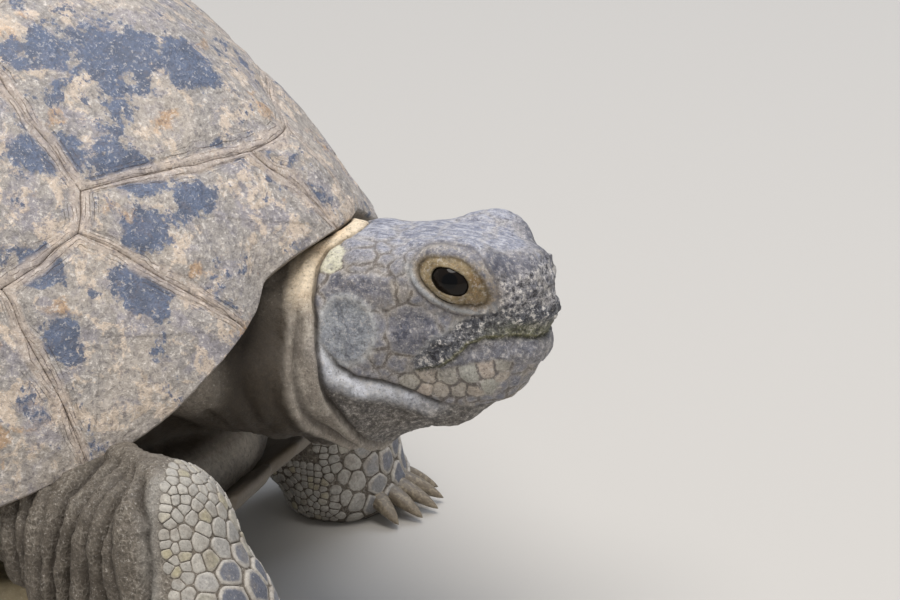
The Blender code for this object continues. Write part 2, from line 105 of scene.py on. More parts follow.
def dome_at_height(deg, lift):
    """The point of the dome lift mm above the rim, in the direction deg."""
    h = lift / (DOME_TOP - wave(deg, RIM_HEIGHT))
    return dome(deg, (1 - h ** (1 / wave(deg, SHOULDER))) ** (1 / wave(deg, BULGE)))


ROUND = np.linspace(-180, 180, 1441)
ROUND_RIM = dome(ROUND, 1.0) - HEART
ROUND_BEARING = np.degrees(np.arctan2(ROUND_RIM[:, 1], ROUND_RIM[:, 0]))
ROUND_BEARING[0], ROUND_BEARING[-1] = -180, 180


def on_dome(direction):
    """Where rays from the heart meet the outer face, and s there."""
    bearing = np.degrees(np.arctan2(direction[..., 1], direction[..., 0]))
    deg = np.interp(bearing, ROUND_BEARING, ROUND)
    level = np.hypot(direction[..., 0], direction[..., 1])
    rim, z0 = dome(deg, 1.0) - HEART, wave(deg, RIM_HEIGHT)
    reach = np.hypot(rim[..., 0], rim[..., 1])
    bulge, shoulder = wave(deg, BULGE), wave(deg, SHOULDER)
    low, high = np.zeros_like(deg), np.ones_like(deg)
    for _ in range(26):
        s = (low + high) / 2
        z = z0 + (DOME_TOP - z0) * (1 - s ** bulge) ** shoulder - HEART[2]
        above = z * level > direction[..., 2] * reach * s
        low, high = np.where(above, s, low), np.where(above, high, s)
    return dome(deg, (low + high) / 2), (low + high) / 2


def lattice(p, seed):
    """Random value in 0..1 for each whole-number point."""
    q = (p[..., 0] * 73856093 ^ p[..., 1] * 19349663 ^ p[..., 2] * 83492791) + seed * 2654435761
    q = (q ^ (q >> 13)) * 1274126177 & 0x7fffffff
    q = (q ^ (q >> 16)) * 461845907 & 0x7fffffff
    return (q ^ (q >> 11) & 0x7fffffff) % 65536 / 65535


def noise(p, size, seed=0, octaves=2):
    """Smooth noise, about -1..1, with lumps of the given size in mm."""
    total, weight, gain = 0.0, 0.0, 1.0
    for octave in range(octaves):
        q = np.asarray(p, float) / size * 2 ** octave + 17.3 * octave
        cell = np.floor(q).astype(np.int64)
        t = q - cell
        t = t * t * (3 - 2 * t)
        value = 0.0
        for corner in range(8):
            step = np.array([corner & 1, corner >> 1 & 1, corner >> 2 & 1])
            share = np.prod(np.where(step, t, 1 - t), axis=-1)
            value = value + share * lattice(cell + step, seed + octave)
        total, weight, gain = total + gain * (value * 2 - 1), weight + gain, gain / 2
    return total / weight * 1.6


def mesh_piece(name, points, faces, attributes):
    """An object from points in mm and faces, with float attributes on its points."""
    mesh = bpy.data.meshes.new(name)
    if not isinstance(faces, list):
        faces = faces.tolist()
    mesh.from_pydata(in_metres(points).tolist(), [], faces)
    for key, values in attributes.items():
        attribute = mesh.attributes.new(key, 'FLOAT', 'POINT')
        attribute.data.foreach_set("value", np.asarray(values, np.float32))
    mesh.calc_loop_triangles()
    corners = np.array([t.vertices for t in mesh.loop_triangles])
    a, b, c = (np.asarray(points)[corners[:, i]] for i in range(3))
    if (a * np.cross(b, c)).sum() < 0:
        mesh.flip_normals()
    mesh.polygons.foreach_set("use_smooth", [True] * len(mesh.polygons))
    obj = bpy.data.objects.new(name, mesh)
    bpy.context.scene.collection.objects.link(obj)
    return obj


# The marginals' seams in degrees from the head, and their tops in mm above the rim.
MARGINAL_SEAMS = [3, 22.2, 42.8, 57, 71, 85.5, 100, 114.5, 129, 144, 159, 173.5]
MARGINAL_TOPS = [0, 0, 0, 30, 26, 22, 21, 21, 23, 26, 28, 27]
junction = {
    'V1.M1.N': (83.4, -6.0, 67.0), 'V1.C1.M1': (67.0, -31.5, 66.7), 'C1.M1.M2': (68.5, -35.8, 61.6),
    'C1.M2.M3': (60.5, -46.7, 55.6), 'V1.V2.C1': (45, -24.5, 88), 'V2.C1.C2': (29, -30, 91.5),
    'V2.V3.C2': (11, -25.5, 98.5), 'V3.C2.C3': (-8, -30, 97.5), 'V3.V4.C3': (-27, -25.5, 99),
    'V4.C3.C4': (-45, -28, 95), 'V4.V5.C4': (-61, -19, 92.5),
}
for k, (deg, lift) in enumerate(zip(MARGINAL_SEAMS, MARGINAL_TOPS)):
    junction[f'rim{k}'] = dome(-deg, 1.0)
    if lift:
        junction[f'top{k}'] = dome_at_height(-deg, lift)
for k, name in ((5, 'C1.C2.M5'), (7, 'C2.C3.M7'), (9, 'C3.C4.M9')):
    lift = (MARGINAL_TOPS[k - 1] + MARGINAL_TOPS[k]) / 2 + 1.2
    junction[name] = dome_at_height(-(MARGINAL_SEAMS[k - 1] + MARGINAL_SEAMS[k]) / 2, lift)
junction['C4.V5.M11'] = dome_at_height(-164.0, 29.5)

# Each plate's seams as a chain of junctions; a marginal's last side, along the rim, is left open.
RIGHT_PLATES = {
    'costal_{}_1': 'V1.C1.M1 C1.M1.M2 C1.M2.M3 top3 top4 C1.C2.M5 V2.C1.C2 V1.V2.C1 V1.C1.M1',
    'costal_{}_2': 'C1.C2.M5 top5 top6 C2.C3.M7 V3.C2.C3 V2.V3.C2 V2.C1.C2 C1.C2.M5',
    'costal_{}_3': 'C2.C3.M7 top7 top8 C3.C4.M9 V4.C3.C4 V3.V4.C3 V3.C2.C3 C2.C3.M7',
    'costal_{}_4': 'C3.C4.M9 top9 top10 C4.V5.M11 V4.V5.C4 V4.C3.C4 C3.C4.M9',
    'marginal_{}_1': 'rim0 V1.M1.N V1.C1.M1 C1.M1.M2 rim1',
    'marginal_{}_2': 'rim1 C1.M1.M2 C1.M2.M3 rim2',
    'marginal_{}_3': 'rim2 C1.M2.M3 top3 rim3',
    'marginal_{}_4': 'rim3 top3 top4 rim4',
    'marginal_{}_5': 'rim4 top4 C1.C2.M5 top5 rim5',
    'marginal_{}_6': 'rim5 top5 top6 rim6',
    'marginal_{}_7': 'rim6 top6 C2.C3.M7 top7 rim7',
    'marginal_{}_8': 'rim7 top7 top8 rim8',
    'marginal_{}_9': 'rim8 top8 C3.C4.M9 top9 rim9',
    'marginal_{}_10': 'rim9 top9 top10 rim10',
    'marginal_{}_11': 'rim10 top10 C4.V5.M11 top11 rim11',
}
MIDDLE_PLATES = {
    'nuchal': 'rim0 V1.M1.N -V1.M1.N -rim0',
    'vertebral_1': 'V1.M1.N V1.C1.M1 V1.V2.C1 -V1.V2.C1 -V1.C1.M1 -V1.M1.N V1.M1.N',
    'vertebral_2': 'V1.V2.C1 V2.C1.C2 V2.V3.C2 -V2.V3.C2 -V2.C1.C2 -V1.V2.C1 V1.V2.C1',
    'vertebral_3': 'V2.V3.C2 V3.C2.C3 V3.V4.C3 -V3.V4.C3 -V3.C2.C3 -V2.V3.C2 V2.V3.C2',
    'vertebral_4': 'V3.V4.C3 V4.C3.C4 V4.V5.C4 -V4.V5.C4 -V4.C3.C4 -V3.V4.C3 V3.V4.C3',
    'vertebral_5': 'V4.V5.C4 C4.V5.M11 top11 -top11 -C4.V5.M11 -V4.V5.C4 V4.V5.C4',
    'supracaudal': 'rim11 top11 -top11 -rim11',
}
# Plates that are meshed finely.
NEAR_PLATES = ('nuchal', 'vertebral_1', 'vertebral_2', 'costal_right_1', 'costal_right_2',
               'marginal_left_1', 'marginal_right_1', 'marginal_right_2', 'marginal_right_3')
# Slate blotches that are there besides the scattered ones: middle and radius.
BLOTCHES = [((66, -12, 84), 11), ((58, -20, 86), 9), ((72, -4, 80), 7), ((50, -13, 92), 6),
            ((64, -31, 73), 5), ((70, -27, 71), 4.5), ((76, -30, 60), 5), ((73, -24, 68), 5),
            ((80, -20, 62), 4), ((77, -34, 53), 6), ((65, -42, 58), 4), ((68, -46, 48), 5),
            ((60, -36, 74), 5), ((48, -42, 76), 7)]


def seam_line(chain, mirror, spacing):
    """Directions from the heart along a plate's border, and whether each lies on the rim."""
    corners = []
    for name in chain.split():
        p = np.array(junction[name.lstrip('-')], float)
        if name.startswith('-') != mirror:
            p[1] = -p[1]
        corners.append(p - HEART)
    line, rim = [], []
    for a, b in zip(corners, corners[1:]):
        steps = max(int(np.linalg.norm(b - a) / spacing), 3)
        t = np.arange(steps)[:, None] / steps
        line.append(unit(a) * (1 - t) + unit(b) * t)
        rim += [False] * steps
    if 'rim' in chain:
        first, last = [np.degrees(np.arctan2(c[1], c[0])) for c in (corners[-1], corners[0])]
        first, last = np.interp([first, last], ROUND_BEARING, ROUND)
        if abs(last - first) > 180:
            first, last = first % 360, last % 360
        steps = int(np.linalg.norm(corners[-1] - corners[0]) / spacing)
        deg = first + (last - first) * np.arange(steps) / steps
        line.append(unit(dome(deg, 1.0) - HEART))
        rim += [True] * steps
    return unit(np.concatenate(line)), np.array(rim)


def spread_evenly(line, rim, count):
    """count points evenly along a closed line of directions."""
    loop = np.vstack([line, line[:1]])
    along = np.concatenate([[0], np.cumsum(np.linalg.norm(np.diff(loop, axis=0), axis=1))])
    at = np.arange(count) / count * along[-1]
    even = np.stack([np.interp(at, along, loop[:, i]) for i in range(3)], -1)
    return unit(even), np.interp(at, along[:-1], rim.astype(float)) > 0.5


def band(a, na, b, nb):
    """Faces between a ring of na points starting at a and one of nb = na or na / 2 starting at b."""
    faces = []
    for i in range(nb):
        j = (i + 1) % nb
        if na == nb:
            faces.append((a + i, a + j, b + j, b + i))
        else:
            faces.append((a + 2 * i, a + 2 * i + 1, b + i))
            faces.append((a + 2 * i + 1, a + 2 * j, b + j))
            faces.append((a + 2 * i + 1, b + j, b + i))
    return faces


def plate(name, chain, mirror):
    """One horn plate: rings from its border in to its oldest part, a wall, and an inner face."""
    spacing = 0.45 if name in NEAR_PLATES else 0.9
    line, rim = seam_line(chain, mirror, 0.7)
    border = on_dome(line)[0]
    around = np.linalg.norm(border - np.roll(border, 1, axis=0), axis=1).sum()
    count = int(around / spacing / 8) * 8
    line, rim = spread_evenly(line, rim, count)
    border = on_dome(line)[0]
    oldest = unit(line.mean(0) + ((0, 0, .1) if 'costal' in name else (-.05, 0, 0)))
    middle = on_dome(oldest[None])[0][0]
    radius = np.linalg.norm(border - middle, axis=1).mean()
    depths = [0.0, .1, .25, .42, .6, .8, 1.0, 1.2, 1.42, 1.7, 2.0, 2.35, 2.75]
    while depths[-1] + spacing * 1.15 < radius * 0.97:
        depths.append(depths[-1] + spacing * 1.15)
    rings, sizes = [], []
    size = count
    for depth in depths:
        share = 1 - depth / radius
        if share < 0.55 * size / count and size % 2 == 0 and size > 24:
            size //= 2
        step = count // size
        ring = unit(oldest * (1 - share) + line[::step] * share)
        rings.append(np.column_stack([ring, np.full(size, share), np.arange(0, count, step)]))
        sizes.append(size)
    table = np.vstack(rings + [np.array([[*oldest, 0.0, 0]])])
    ray = table[:, :3]
    which = table[:, 4].astype(int)
    wander = np.stack([noise(ray * 100, 9, s) for s in (1, 2, 3)], -1) * 0.009
    on_rim = fade(.9, 1.0, table[:, 3]) * rim[which]
    base, s = on_dome(ray)
    ray = unit(ray + wander * (fade(1.0, .9, s) * (1 - on_rim))[:, None])
    base, s = on_dome(ray)
    side = unit(np.cross(ray, (0.0, 0.1, 1.0)))
    rise = np.cross(side, ray)
    da = on_dome(unit(ray + side * 0.004))[0] - on_dome(unit(ray - side * 0.004))[0]
    db = on_dome(unit(ray + rise * 0.006))[0] - base
    normal = unit(np.cross(da, db))
    normal *= np.sign((normal * ray).sum(-1))[:, None]
    from_edge = (1 - table[:, 3]) * np.linalg.norm(border - middle, axis=1)[which]
    seam_side = 1.0 - rim[which]
    rough = noise(base, 14, 5) * .35 + noise(base, 4.5, 6) * .16 + noise(base, 1.7, 7, 3) * .10
    grain = from_edge + noise(base, 7, 8) * .7 + noise(base, 2.5, 9) * .15
    faint = np.clip(.45 + noise(base, 9, 10) * .8, 0, 1)
    lines = -.11 * hump(grain % 1.3 - .65, .17) * faint * fade(9, 2, from_edge) * fade(.5, 1.2, from_edge)
    groove = -.26 * fade(4.5, 1.2, from_edge) + .1 * hump(from_edge - .8, .5) - .12 * hump(from_edge, .2)
    step = -.16 * hump(grain - 1.9, .22) * np.clip(.5 + noise(base, 5, 11), 0, 1)
    height = .5 * (1 - table[:, 3] ** 3) + rough + lines
    height = height + (groove + step) * seam_side - .15 * (1 - seam_side)
    inset = unit(middle - base) * (.04 * fade(.6, 0, from_edge) * seam_side)[:, None]
    outer = base + normal * height[:, None] + inset
    points, faces = [outer], []
    start = 0
    for a, b in zip(sizes, sizes[1:]):
        faces += band(start, a, start + a, b)
        start += a
    faces += [(start + i, start + (i + 1) % size, start + size) for i in range(size)]
    total = len(outer)
    # The wall down to the inner face, rounded where it is the shell's own edge.
    outward = unit(base[:count] - base[count:2 * count])
    inner = outer[:count] - normal[:count] * HORN_THICKNESS
    previous = 0
    for t in (.2, .5, .8, 1.0):
        ring = outer[:count] * (1 - t) + inner * t
        ring = ring + outward * (rim * np.sin(np.pi * t) * .9)[:, None]
        points.append(inner if t == 1 else ring)
        faces += band(total, count, previous, count)
        previous = total
        total += count
    centre = middle - ray[-1] * HORN_THICKNESS
    for share in (.7, .35):
        above = on_dome(unit(centre + (inner - centre) * share - HEART))[0]
        points.append(above - unit(above - HEART) * HORN_THICKNESS)
        faces += band(total, count, previous, count)
        previous = total
        total += count
    points.append(centre[None])
    faces += [(previous + (i + 1) % count, previous + i, total) for i in range(count)]
    points = np.vstack(points)
    edge = np.zeros(len(points))
    edge[:len(outer)] = np.where(seam_side > .5, from_edge, 6 + from_edge)
    blotch = np.zeros(len(points))
    for spot, reach in BLOTCHES:
        blotch = np.maximum(blotch, fade(reach * 1.25, reach * .3, np.linalg.norm(points - spot, axis=1)))
    inside = np.ones(len(points))
    inside[:len(outer)] = 0
    return mesh_piece(name + '_horn', points, faces, {'edge': edge, 'blotch': blotch, 'inside': inside})


class Value:
    """A value or colour inside a material; arithmetic on it adds Math nodes."""

    def __init__(self, finish, socket):
        self.finish, self.socket = finish, socket

    def math(self, operation, *others):
        sockets = dict(enumerate((self, *others)))
        return self.finish.add('ShaderNodeMath', {'operation': operation}, sockets)

    def __add__(self, other):
        return self.math('ADD', other)

    def __sub__(self, other):
        return self.math('SUBTRACT', other)

    def __mul__(self, other):
        return self.math('MULTIPLY', other)

    def __rsub__(self, other):
        return (self * -1) + other

    __radd__, __rmul__ = __add__, __mul__

    def step(self, low, high, start=0.0, end=1.0):
        """Smooth step of the value from low to high, giving start to end."""
        sockets = {'Value': self, 'From Min': low, 'From Max': high, 'To Min': start, 'To Max': end}
        return self.finish.add('ShaderNodeMapRange', {'interpolation_type': 'SMOOTHSTEP'}, sockets)

    def most(self, other):
        return self.math('MAXIMUM', other)


def ink(code):
    """Linear colour from a six-digit screen colour."""
    c = np.array([int(code[i:i + 2], 16) for i in (0, 2, 4)]) / 255
    return (*np.where(c <= .04045, c / 12.92, ((c + .055) / 1.055) ** 2.4), 1.0)


class Finish:
    """A material under construction: one Principled BSDF and the nodes that feed it."""

    def __init__(self, name, **fixed):
        self.material = bpy.data.materials.new(name)
        self.material.use_nodes = True
        self.tree = self.material.node_tree
        self.shader = self.tree.nodes["Principled BSDF"]
        for key, value in fixed.items():
            self.shader.inputs[key.replace('_', ' ')].default_value = value
        self.place = self.add('ShaderNodeTexCoord', {}, {}, 'Object')

    def add(self, kind, settings, sockets, output=0):
        made = self.tree.nodes.new(kind)
        for key, value in settings.items():
            setattr(made, key, value)
        for key, value in sockets.items():
            if isinstance(value, Value):
                self.tree.links.new(value.socket, made.inputs[key])
            else:
                made.inputs[key].default_value = value
        return Value(self, made.outputs[output])

    def attribute(self, name):
        return self.add('ShaderNodeAttribute', {'attribute_name': name}, {}, 'Fac')

    def noise(self, size, detail=2.0, roughness=.5, distortion=0.0, place=None):
        """Noise with lumps of the given size in mm."""
        sockets = {'Vector': place or self.place, 'Scale': 1000 / size, 'Detail': detail,
                   'Roughness': roughness, 'Distortion': distortion}
        return self.add('ShaderNodeTexNoise', {}, sockets)

    def cell_edges(self, size, place):
        """Distance to the edges of cells of the given size in mm."""
        sockets = {'Vector': place, 'Scale': 1000 / size}
        return self.add('ShaderNodeTexVoronoi', {'feature': 'DISTANCE_TO_EDGE'}, sockets, 'Distance')

    def stretch(self, *scale):
        """The object's coordinates, scaled along each axis."""
        return self.add('ShaderNodeVectorMath', {'operation': 'MULTIPLY'}, {0: self.place, 1: scale})

    def blend(self, share, a, b):
        """Colour a, or b where share is 1."""
        a, b = (ink(c) if isinstance(c, str) else c for c in (a, b))
        return self.add('ShaderNodeMix', {'data_type': 'RGBA'}, {'Factor': share, 6: a, 7: b}, 2)

    def layers(self, color, *shares_and_colors):
        """The colour under layers of (share, colour), each laid over the one before."""
        for share, over in shares_and_colors:
            color = self.blend(share, color, over)
        return color

    def shade(self, color, amount):
        """The colour made lighter or darker by a value round 1."""
        grey = self.add('ShaderNodeCombineXYZ', {}, {0: amount, 1: amount, 2: amount})
        return self.add('ShaderNodeVectorMath', {'operation': 'MULTIPLY'}, {0: color, 1: grey})

    def wear(self, color, roughness, relief, distance, strength=1.0):
        """Sets the shader: colour, roughness, and relief in mm of distance as bump."""
        self.tree.links.new(color.socket, self.shader.inputs['Base Color'])
        self.tree.links.new(roughness.socket, self.shader.inputs['Roughness'])
        depth = {'Height': relief, 'Distance': distance / 1000, 'Strength': strength}
        bump = self.add('ShaderNodeBump', {}, depth)
        self.tree.links.new(bump.socket, self.shader.inputs['Normal'])
        return self.material


def weathered_horn():
    f = Finish('weathered_horn', IOR=1.45)
    edge, blotch, inside = f.attribute('edge'), f.attribute('blotch'), f.attribute('inside')
    broad, patch, grain = f.noise(17, 3), f.noise(5, 5, .68, .5), f.noise(1.5, 4, .75)
    speck = f.noise(.5, 2, .7)
    color = f.blend(broad.step(.40, .60), '98938f', 'a9a199')
    color = f.blend(f.noise(7, 4, .65, .3).step(.48, .62) * .6, color, '8d8a94')
    cream = (patch + grain * .3).step(.66, .74)
    color = f.blend(cream * .8, color, 'c4b4a3')
    color = f.blend((f.noise(8, 4, .6, .4) + grain * .2).step(.71, .80) * .6, color, 'b48f66')
    field = f.noise(9, 5, .66, .5) + blotch * .27 + (grain - .5) * .42 + (patch - .5) * .25
    slate = field.step(.575, .66)
    slate = slate * (f.noise(1.3, 3, .7) + slate * .10 + blotch * .08).step(.41, .56)
    color = f.blend(slate * .92, color, '53617b')
    veins = slate * (f.noise(3, 3, .6) + (grain - .5) * .4).step(.50, .60)
    color = f.blend(veins * .75, color, '4b5262')
    seam = (edge + (f.noise(3, 3) - .5) * 2.2).step(2.1, 1.1)
    color = f.blend(seam * .7, color, 'b5a79b')
    wander = edge + (f.noise(5, 3) - .5) * 2.6
    lines = (wander.math('MODULO', .8) - .4).math('ABSOLUTE').step(.10, .0) * edge.step(4.2, 1.4)
    lines = lines * f.noise(3, 3).step(.42, .58)
    color = f.blend(lines * .6, color, '6f6052')
    color = f.blend(edge.step(.22, .02) * f.noise(4, 3).step(.38, .58) * .6, color, '6b5c50')
    pepper = f.noise(1.0, 3, .8)
    color = f.layers(
        color,
        (pepper.step(.55, .66) * (.55 - slate * .22), 'd8d2cc'),
        (pepper.step(.46, .36) * .5, '66636a'),
        (speck.step(.54, .72) * (.45 - slate * .3), 'cdc6bf'))
    color = f.shade(color, grain * 1.6 + .2)
    color = f.blend(inside * .8, color, '7c7264')
    roughness = grain * .3 + .5 - slate * .08
    relief = grain * .9 + patch * .4 + pepper * .5 - lines * .3
    return f.wear(color, roughness, relief, .5, .9)


horn = weathered_horn()
for name, chain in (RIGHT_PLATES | MIDDLE_PLATES).items():
    for side, mirror in (('right', False), ('left', True)) if '{}' in name else ((None, False),):
        node = name.format(side)
        piece = plate(node, chain, mirror)
        piece.data.materials.append(horn)
        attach(piece, "root")
        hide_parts(node)


# ------------------------------------------------------------------ plastron and bridges
# Flat belly shell in two lobes, turned up at the throat, with its scutes' seams cut in, and the
# rounded bridges that rise to just under the carapace's rim: yellowish horn with dark stains,
# greyer and darker at the front.
LOBE_WIDTH = np.array([(-89, 13), (-84, 24), (-72, 34), (-56, 41), (-46, 45), (-37, 50.5), (0, 50.5),
                       (45, 50.5), (50, 46), (60, 40), (72, 31), (80, 24), (85, 19)])
HINGE_X = -31.0
BELLY_THICKNESS = 5.0
SEAM_GAP = .3
# Scute seams across the belly: x at the midline, and how far they sweep forwards per mm outwards.
BELLY_SEAMS = [(67, .75), (43, -.12), (33, .1), (-58, -.35)]


def belly_rise(x):
    return .016 * np.clip(x - 58, 0, None) ** 2 + .004 * np.clip(-58 - x, 0, None) ** 2


def seam_distance(p):
    """Distance in mm to the nearest seam of the belly's scutes."""
    best = np.abs(p[:, 1] + noise(p, 15, 61) * 1.2)
    wander = noise(p, 9, 62) * .8
    for middle, sweep in BELLY_SEAMS:
        best = np.minimum(best, np.abs(p[:, 0] - middle - sweep * np.abs(p[:, 1]) + wander))
    return np.minimum(best, np.abs(p[:, 0] - HINGE_X))


def grid_faces(rows, columns):
    i = (np.arange(rows - 1)[:, None] * columns + np.arange(columns - 1)).ravel()
    return np.stack([i, i + 1, i + columns + 1, i + columns], 1)


def belly_plate(name, x0, x1):
    """The lobe from x0 to x1, rounded at its edge."""
    columns, rows = int((x1 - x0) / .9), 90
    cx = -np.cos(np.pi * (.04 + .92 * np.linspace(0, 1, columns)))
    cx = x0 + (x1 - x0) * (cx - cx[0]) / (cx[-1] - cx[0])
    t = np.sin(np.linspace(-1, 1, rows) * np.pi / 2)
    x, t = np.meshgrid(cx, t, indexing='ij')
    width = np.interp(x, LOBE_WIDTH[:, 0], LOBE_WIDTH[:, 1])
    width = width - .8 * fade(12, 0, np.minimum(abs(x - LOBE_WIDTH[0, 0]), abs(x - LOBE_WIDTH[-1, 0])))
    # A wide notch under the tail and a small one under the throat.
    off = abs(t) * width
    tail_notch = 7 * np.clip(1 - off / 11, 0, 1) * np.clip((-x - 66) / 22, 0, 1)
    throat_notch = 2.5 * np.clip(1 - off / 5, 0, 1) * np.clip((x - 76) / 9, 0, 1)
    shifted = x + tail_notch - throat_notch
    to_edge = np.minimum.reduce([width * (1 - abs(t)), x - x0, x1 - x]).ravel()
    level = belly_rise(shifted) + BELLY_THICKNESS / 2
    middle = np.stack([shifted, width * t, level], -1).reshape(-1, 3)
    soft = np.sqrt(1 - (1 - np.clip(to_edge / 2.4, 0, 1)) ** 2)
    lip = 1 - .35 * fade(66, 84, middle[:, 0])
    half = BELLY_THICKNESS / 2 * soft * lip
    seam = seam_distance(middle)
    growth = .10 * np.cos(seam * 4.2) * fade(9, 1, seam)
    rough = soft * (noise(middle, 6, 63) * .22 + noise(middle, 1.6, 64) * .05)
    below, above = middle.copy(), middle.copy()
    below[:, 2] = np.maximum(below[:, 2] - half + soft * (.5 * hump(seam, .5) + growth) - rough, -.3)
    above[:, 2] += half - soft * .4 * hump(seam, .5) + rough
    count = len(middle)
    faces = grid_faces(columns, rows)
    on_border = to_edge < 1e-9
    number = np.arange(count) + count
    number[on_border] = np.arange(count)[on_border]
    points = np.vstack([below, above])
    used = np.concatenate([np.ones(count, bool), ~on_border])
    compact = np.cumsum(used) - 1
    faces = np.vstack([faces, number[faces][:, ::-1]])
    return mesh_piece(name, points[used], compact[faces], {'seam': np.tile(seam, 2)[used],
                                                           'throat': fade(62, 76, points[used][:, 0])})


def bridge(name, side):
    """The shell's side between plastron and rim; its ends are notched for the legs and rounded."""
    u, t = np.meshgrid(np.linspace(-1, 1, 110), np.linspace(0, np.pi / 2, 40), indexing='ij')
    x = 4 + 40 * u + u ** 5 * (9 * np.cos(2 * t) ** 2 - 3)
    deg = np.degrees(np.arccos(np.clip(x / HALF_LENGTH, -1, 1)))
    rim = dome(deg, 1.0)
    low = np.interp(x, LOBE_WIDTH[:, 0], LOBE_WIDTH[:, 1]) + 1.0
    y = low + (rim[..., 1] - .4 - low) * np.sin(t)
    z = (rim[..., 2] - 1.2) * (1 - np.cos(t))
    grid = np.stack([x, side * y, z], -1)
    normal = unit(np.cross(np.gradient(grid, axis=0), np.gradient(grid, axis=1)))
    normal *= np.sign(normal[..., 1:2] * side - normal[..., 2:3])
    outer = grid.reshape(-1, 3)
    normal = normal.reshape(-1, 3)
    lengthwise = abs(outer[:, 2] - 11 - noise(outer, 20, 65))
    crosswise = abs(outer[:, 0] - 33 + .2 * abs(outer[:, 1]))
    seam = np.minimum(crosswise, lengthwise)
    rough = noise(outer, 6, 66) * .25 + noise(outer, 1.6, 67) * .06 - .4 * hump(seam, .5)
    rough -= 1.9 * (1 - np.sqrt(1 - np.clip(1 - 40 * (1 - abs(u.ravel())) / 3.5, 0, 1) ** 2))
    inner = outer - normal * 4
    points = np.vstack([outer + normal * rough[:, None], inner])
    rows, columns = x.shape
    count = rows * columns
    faces = grid_faces(rows, columns)
    index = np.arange(count).reshape(rows, columns)
    loop = np.concatenate([index[:, 0], index[-1, 1:], index[-2::-1, -1], index[0, -2:0:-1]])
    wall = np.stack([np.roll(loop, -1), loop, loop + count, np.roll(loop, -1) + count], 1)
    faces = np.vstack([faces, faces[:, ::-1] + count, wall])
    return mesh_piece(name, points, faces, {'seam': np.tile(seam, 2)})


def belly_horn():
    f = Finish('belly_horn', IOR=1.45)
    seam, throat = f.attribute('seam'), f.attribute('throat')
    broad, patch = f.noise(22, 3), f.noise(6, 4, .6, .5)
    fine, speck = f.noise(1.2, 3, .6), f.noise(.5, 2, .7)
    color = f.blend(broad.step(.38, .62), '958b75', 'a29577')
    color = f.layers(
        color,
        (f.noise(26, 4, .6, .6).step(.54, .64) * .85, '4b4338'),
        (patch.step(.5, .7) * .5, '8d8372'),
        (seam.step(.6, .15) * .7, '6a5c47'),
        (speck.step(.55, .75) * .4, 'cdc3ad'),
        (speck.step(.42, .28) * .3, '5c5344'),
        # Greyer and darker towards the front, under the throat.
        (throat * .9, '5f574e'))
    color = f.shade(color, fine * .5 + .75)
    return f.wear(color, fine * .25 + .5, fine * .5 + patch * .4 + speck * .3, .35, .7)


belly = belly_horn()
for node, piece in (('plastron_front', belly_plate('plastron_front_horn', HINGE_X + SEAM_GAP / 2, 85)),
                    ('plastron_hind', belly_plate('plastron_hind_horn', -89, HINGE_X - SEAM_GAP / 2)),
                    ('bridge_left', bridge('bridge_left_horn', 1)),
                    ('bridge_right', bridge('bridge_right_horn', -1))):
    piece.data.materials.append(belly)
    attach(piece, "root")
    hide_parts(node)


# ------------------------------------------------------------------ skin
# One hide over head, neck, limbs and tail: scaly and grey-violet on the head, loose and dusty on
# the neck, creased on the limbs. Rounded masses are melted together, meshed, then sculpted.
HEAD = [
    [((103, 0, 46), (12, 12.6, 8.5)), ((114, 0, 49.3), (11, 10.2, 6.0)),
     ((122.6, 0, 48.2), (7.4, 7.4, 6.6))],
    [((116.5, -6.2, 51.8), (7.2, 4.2, 4.8))],
    [((117.8, 6.2, 52.8), (5.8, 4.0, 4.3))],
    [((121, 0, 43.5), (9.5, 8.0, 6.0)), ((125.8, 0, 46.5), (4.6, 4.6, 5.6))],
    [((103, 0, 40), (10, 13.4, 9.5)), ((113, 0, 41.5), (10, 11.2, 7.5))],
    [((107, 0, 35.5), (11, 11.6, 7.2)), ((118.2, 0, 36.2), (8.5, 7.8, 6.5)),
     ((121.6, 0, 39.2), (7.2, 6.4, 4.2))],
    [((101, 0, 31), (9, 11.5, 10.6)), ((111, 0, 31.4), (9.5, 8.5, 7.4))],
]
NECK = [
    [((101, 0, 36.6), (7, 13.6, 17.2)), ((94, 0, 35.4), (8, 15.5, 17.0)), ((84, 0, 37), (10, 19, 16.5)),
     ((68, 0, 38), (14, 25, 19))],
    [((90, -11, 31.5), (8, 9, 10)), ((74, -22, 39.5), (11, 11.5, 9))],
    [((90, 11, 31), (8, 9, 10)), ((74, 22, 38), (11, 11.5, 10))],
    [((69, -4, 13.5), (11, 24, 8.5))],
]
TRUNK = [[((-6, 0, 46), (70, 46, 38))], [((44, 0, 34), (34, 42, 26))], [((-54, 0, 29), (32, 40, 21))]]
TAIL = [[((-76, 0, 22), (12, 12, 11)), ((-91, 0, 14.5), (8, 7, 6.5)), ((-99, 2, 5), (4.6, 4.4, 5)),
         ((-101, 3.5, -2), (2.6, 2.5, 3))]]


def foreleg(side, elbow, wrist, foot):
    """Shoulder to foot; elbow, wrist and foot are (x, distance from the middle, z)."""
    ex, ey, ez = elbow
    wx, wy, wz = wrist
    fx, fy, fz = foot
    mx, my, mz = (ex + wx) / 2, (ey + wy) / 2, (ez + wz) / 2
    return [
        [((58, side * 34, 24), (14, 13, 14)), ((ex - 15, side * (ey - 8), ez - 5), (14, 12, 12)),
         ((ex, side * ey, ez), (10.8, 11, 11))],
        [((ex, side * ey, ez), (10.8, 11, 11)), ((mx, side * my, mz), (10.6, 11.6, 11)),
         ((wx, side * wy, wz), (9.6, 11.4, 9))],
        [((ex - 12, side * (ey - 3), ez - 9), (11, 9.5, 9.5)),
         ((mx - 4, side * my, mz - 5), (9.5, 10, 9)), ((wx - 4, side * wy, wz - 3), (9, 10.6, 8))],
        [((wx, side * wy, wz), (9.6, 11.4, 9)), ((fx, side * fy, fz), (10, 12.4, 6.5))],
    ]


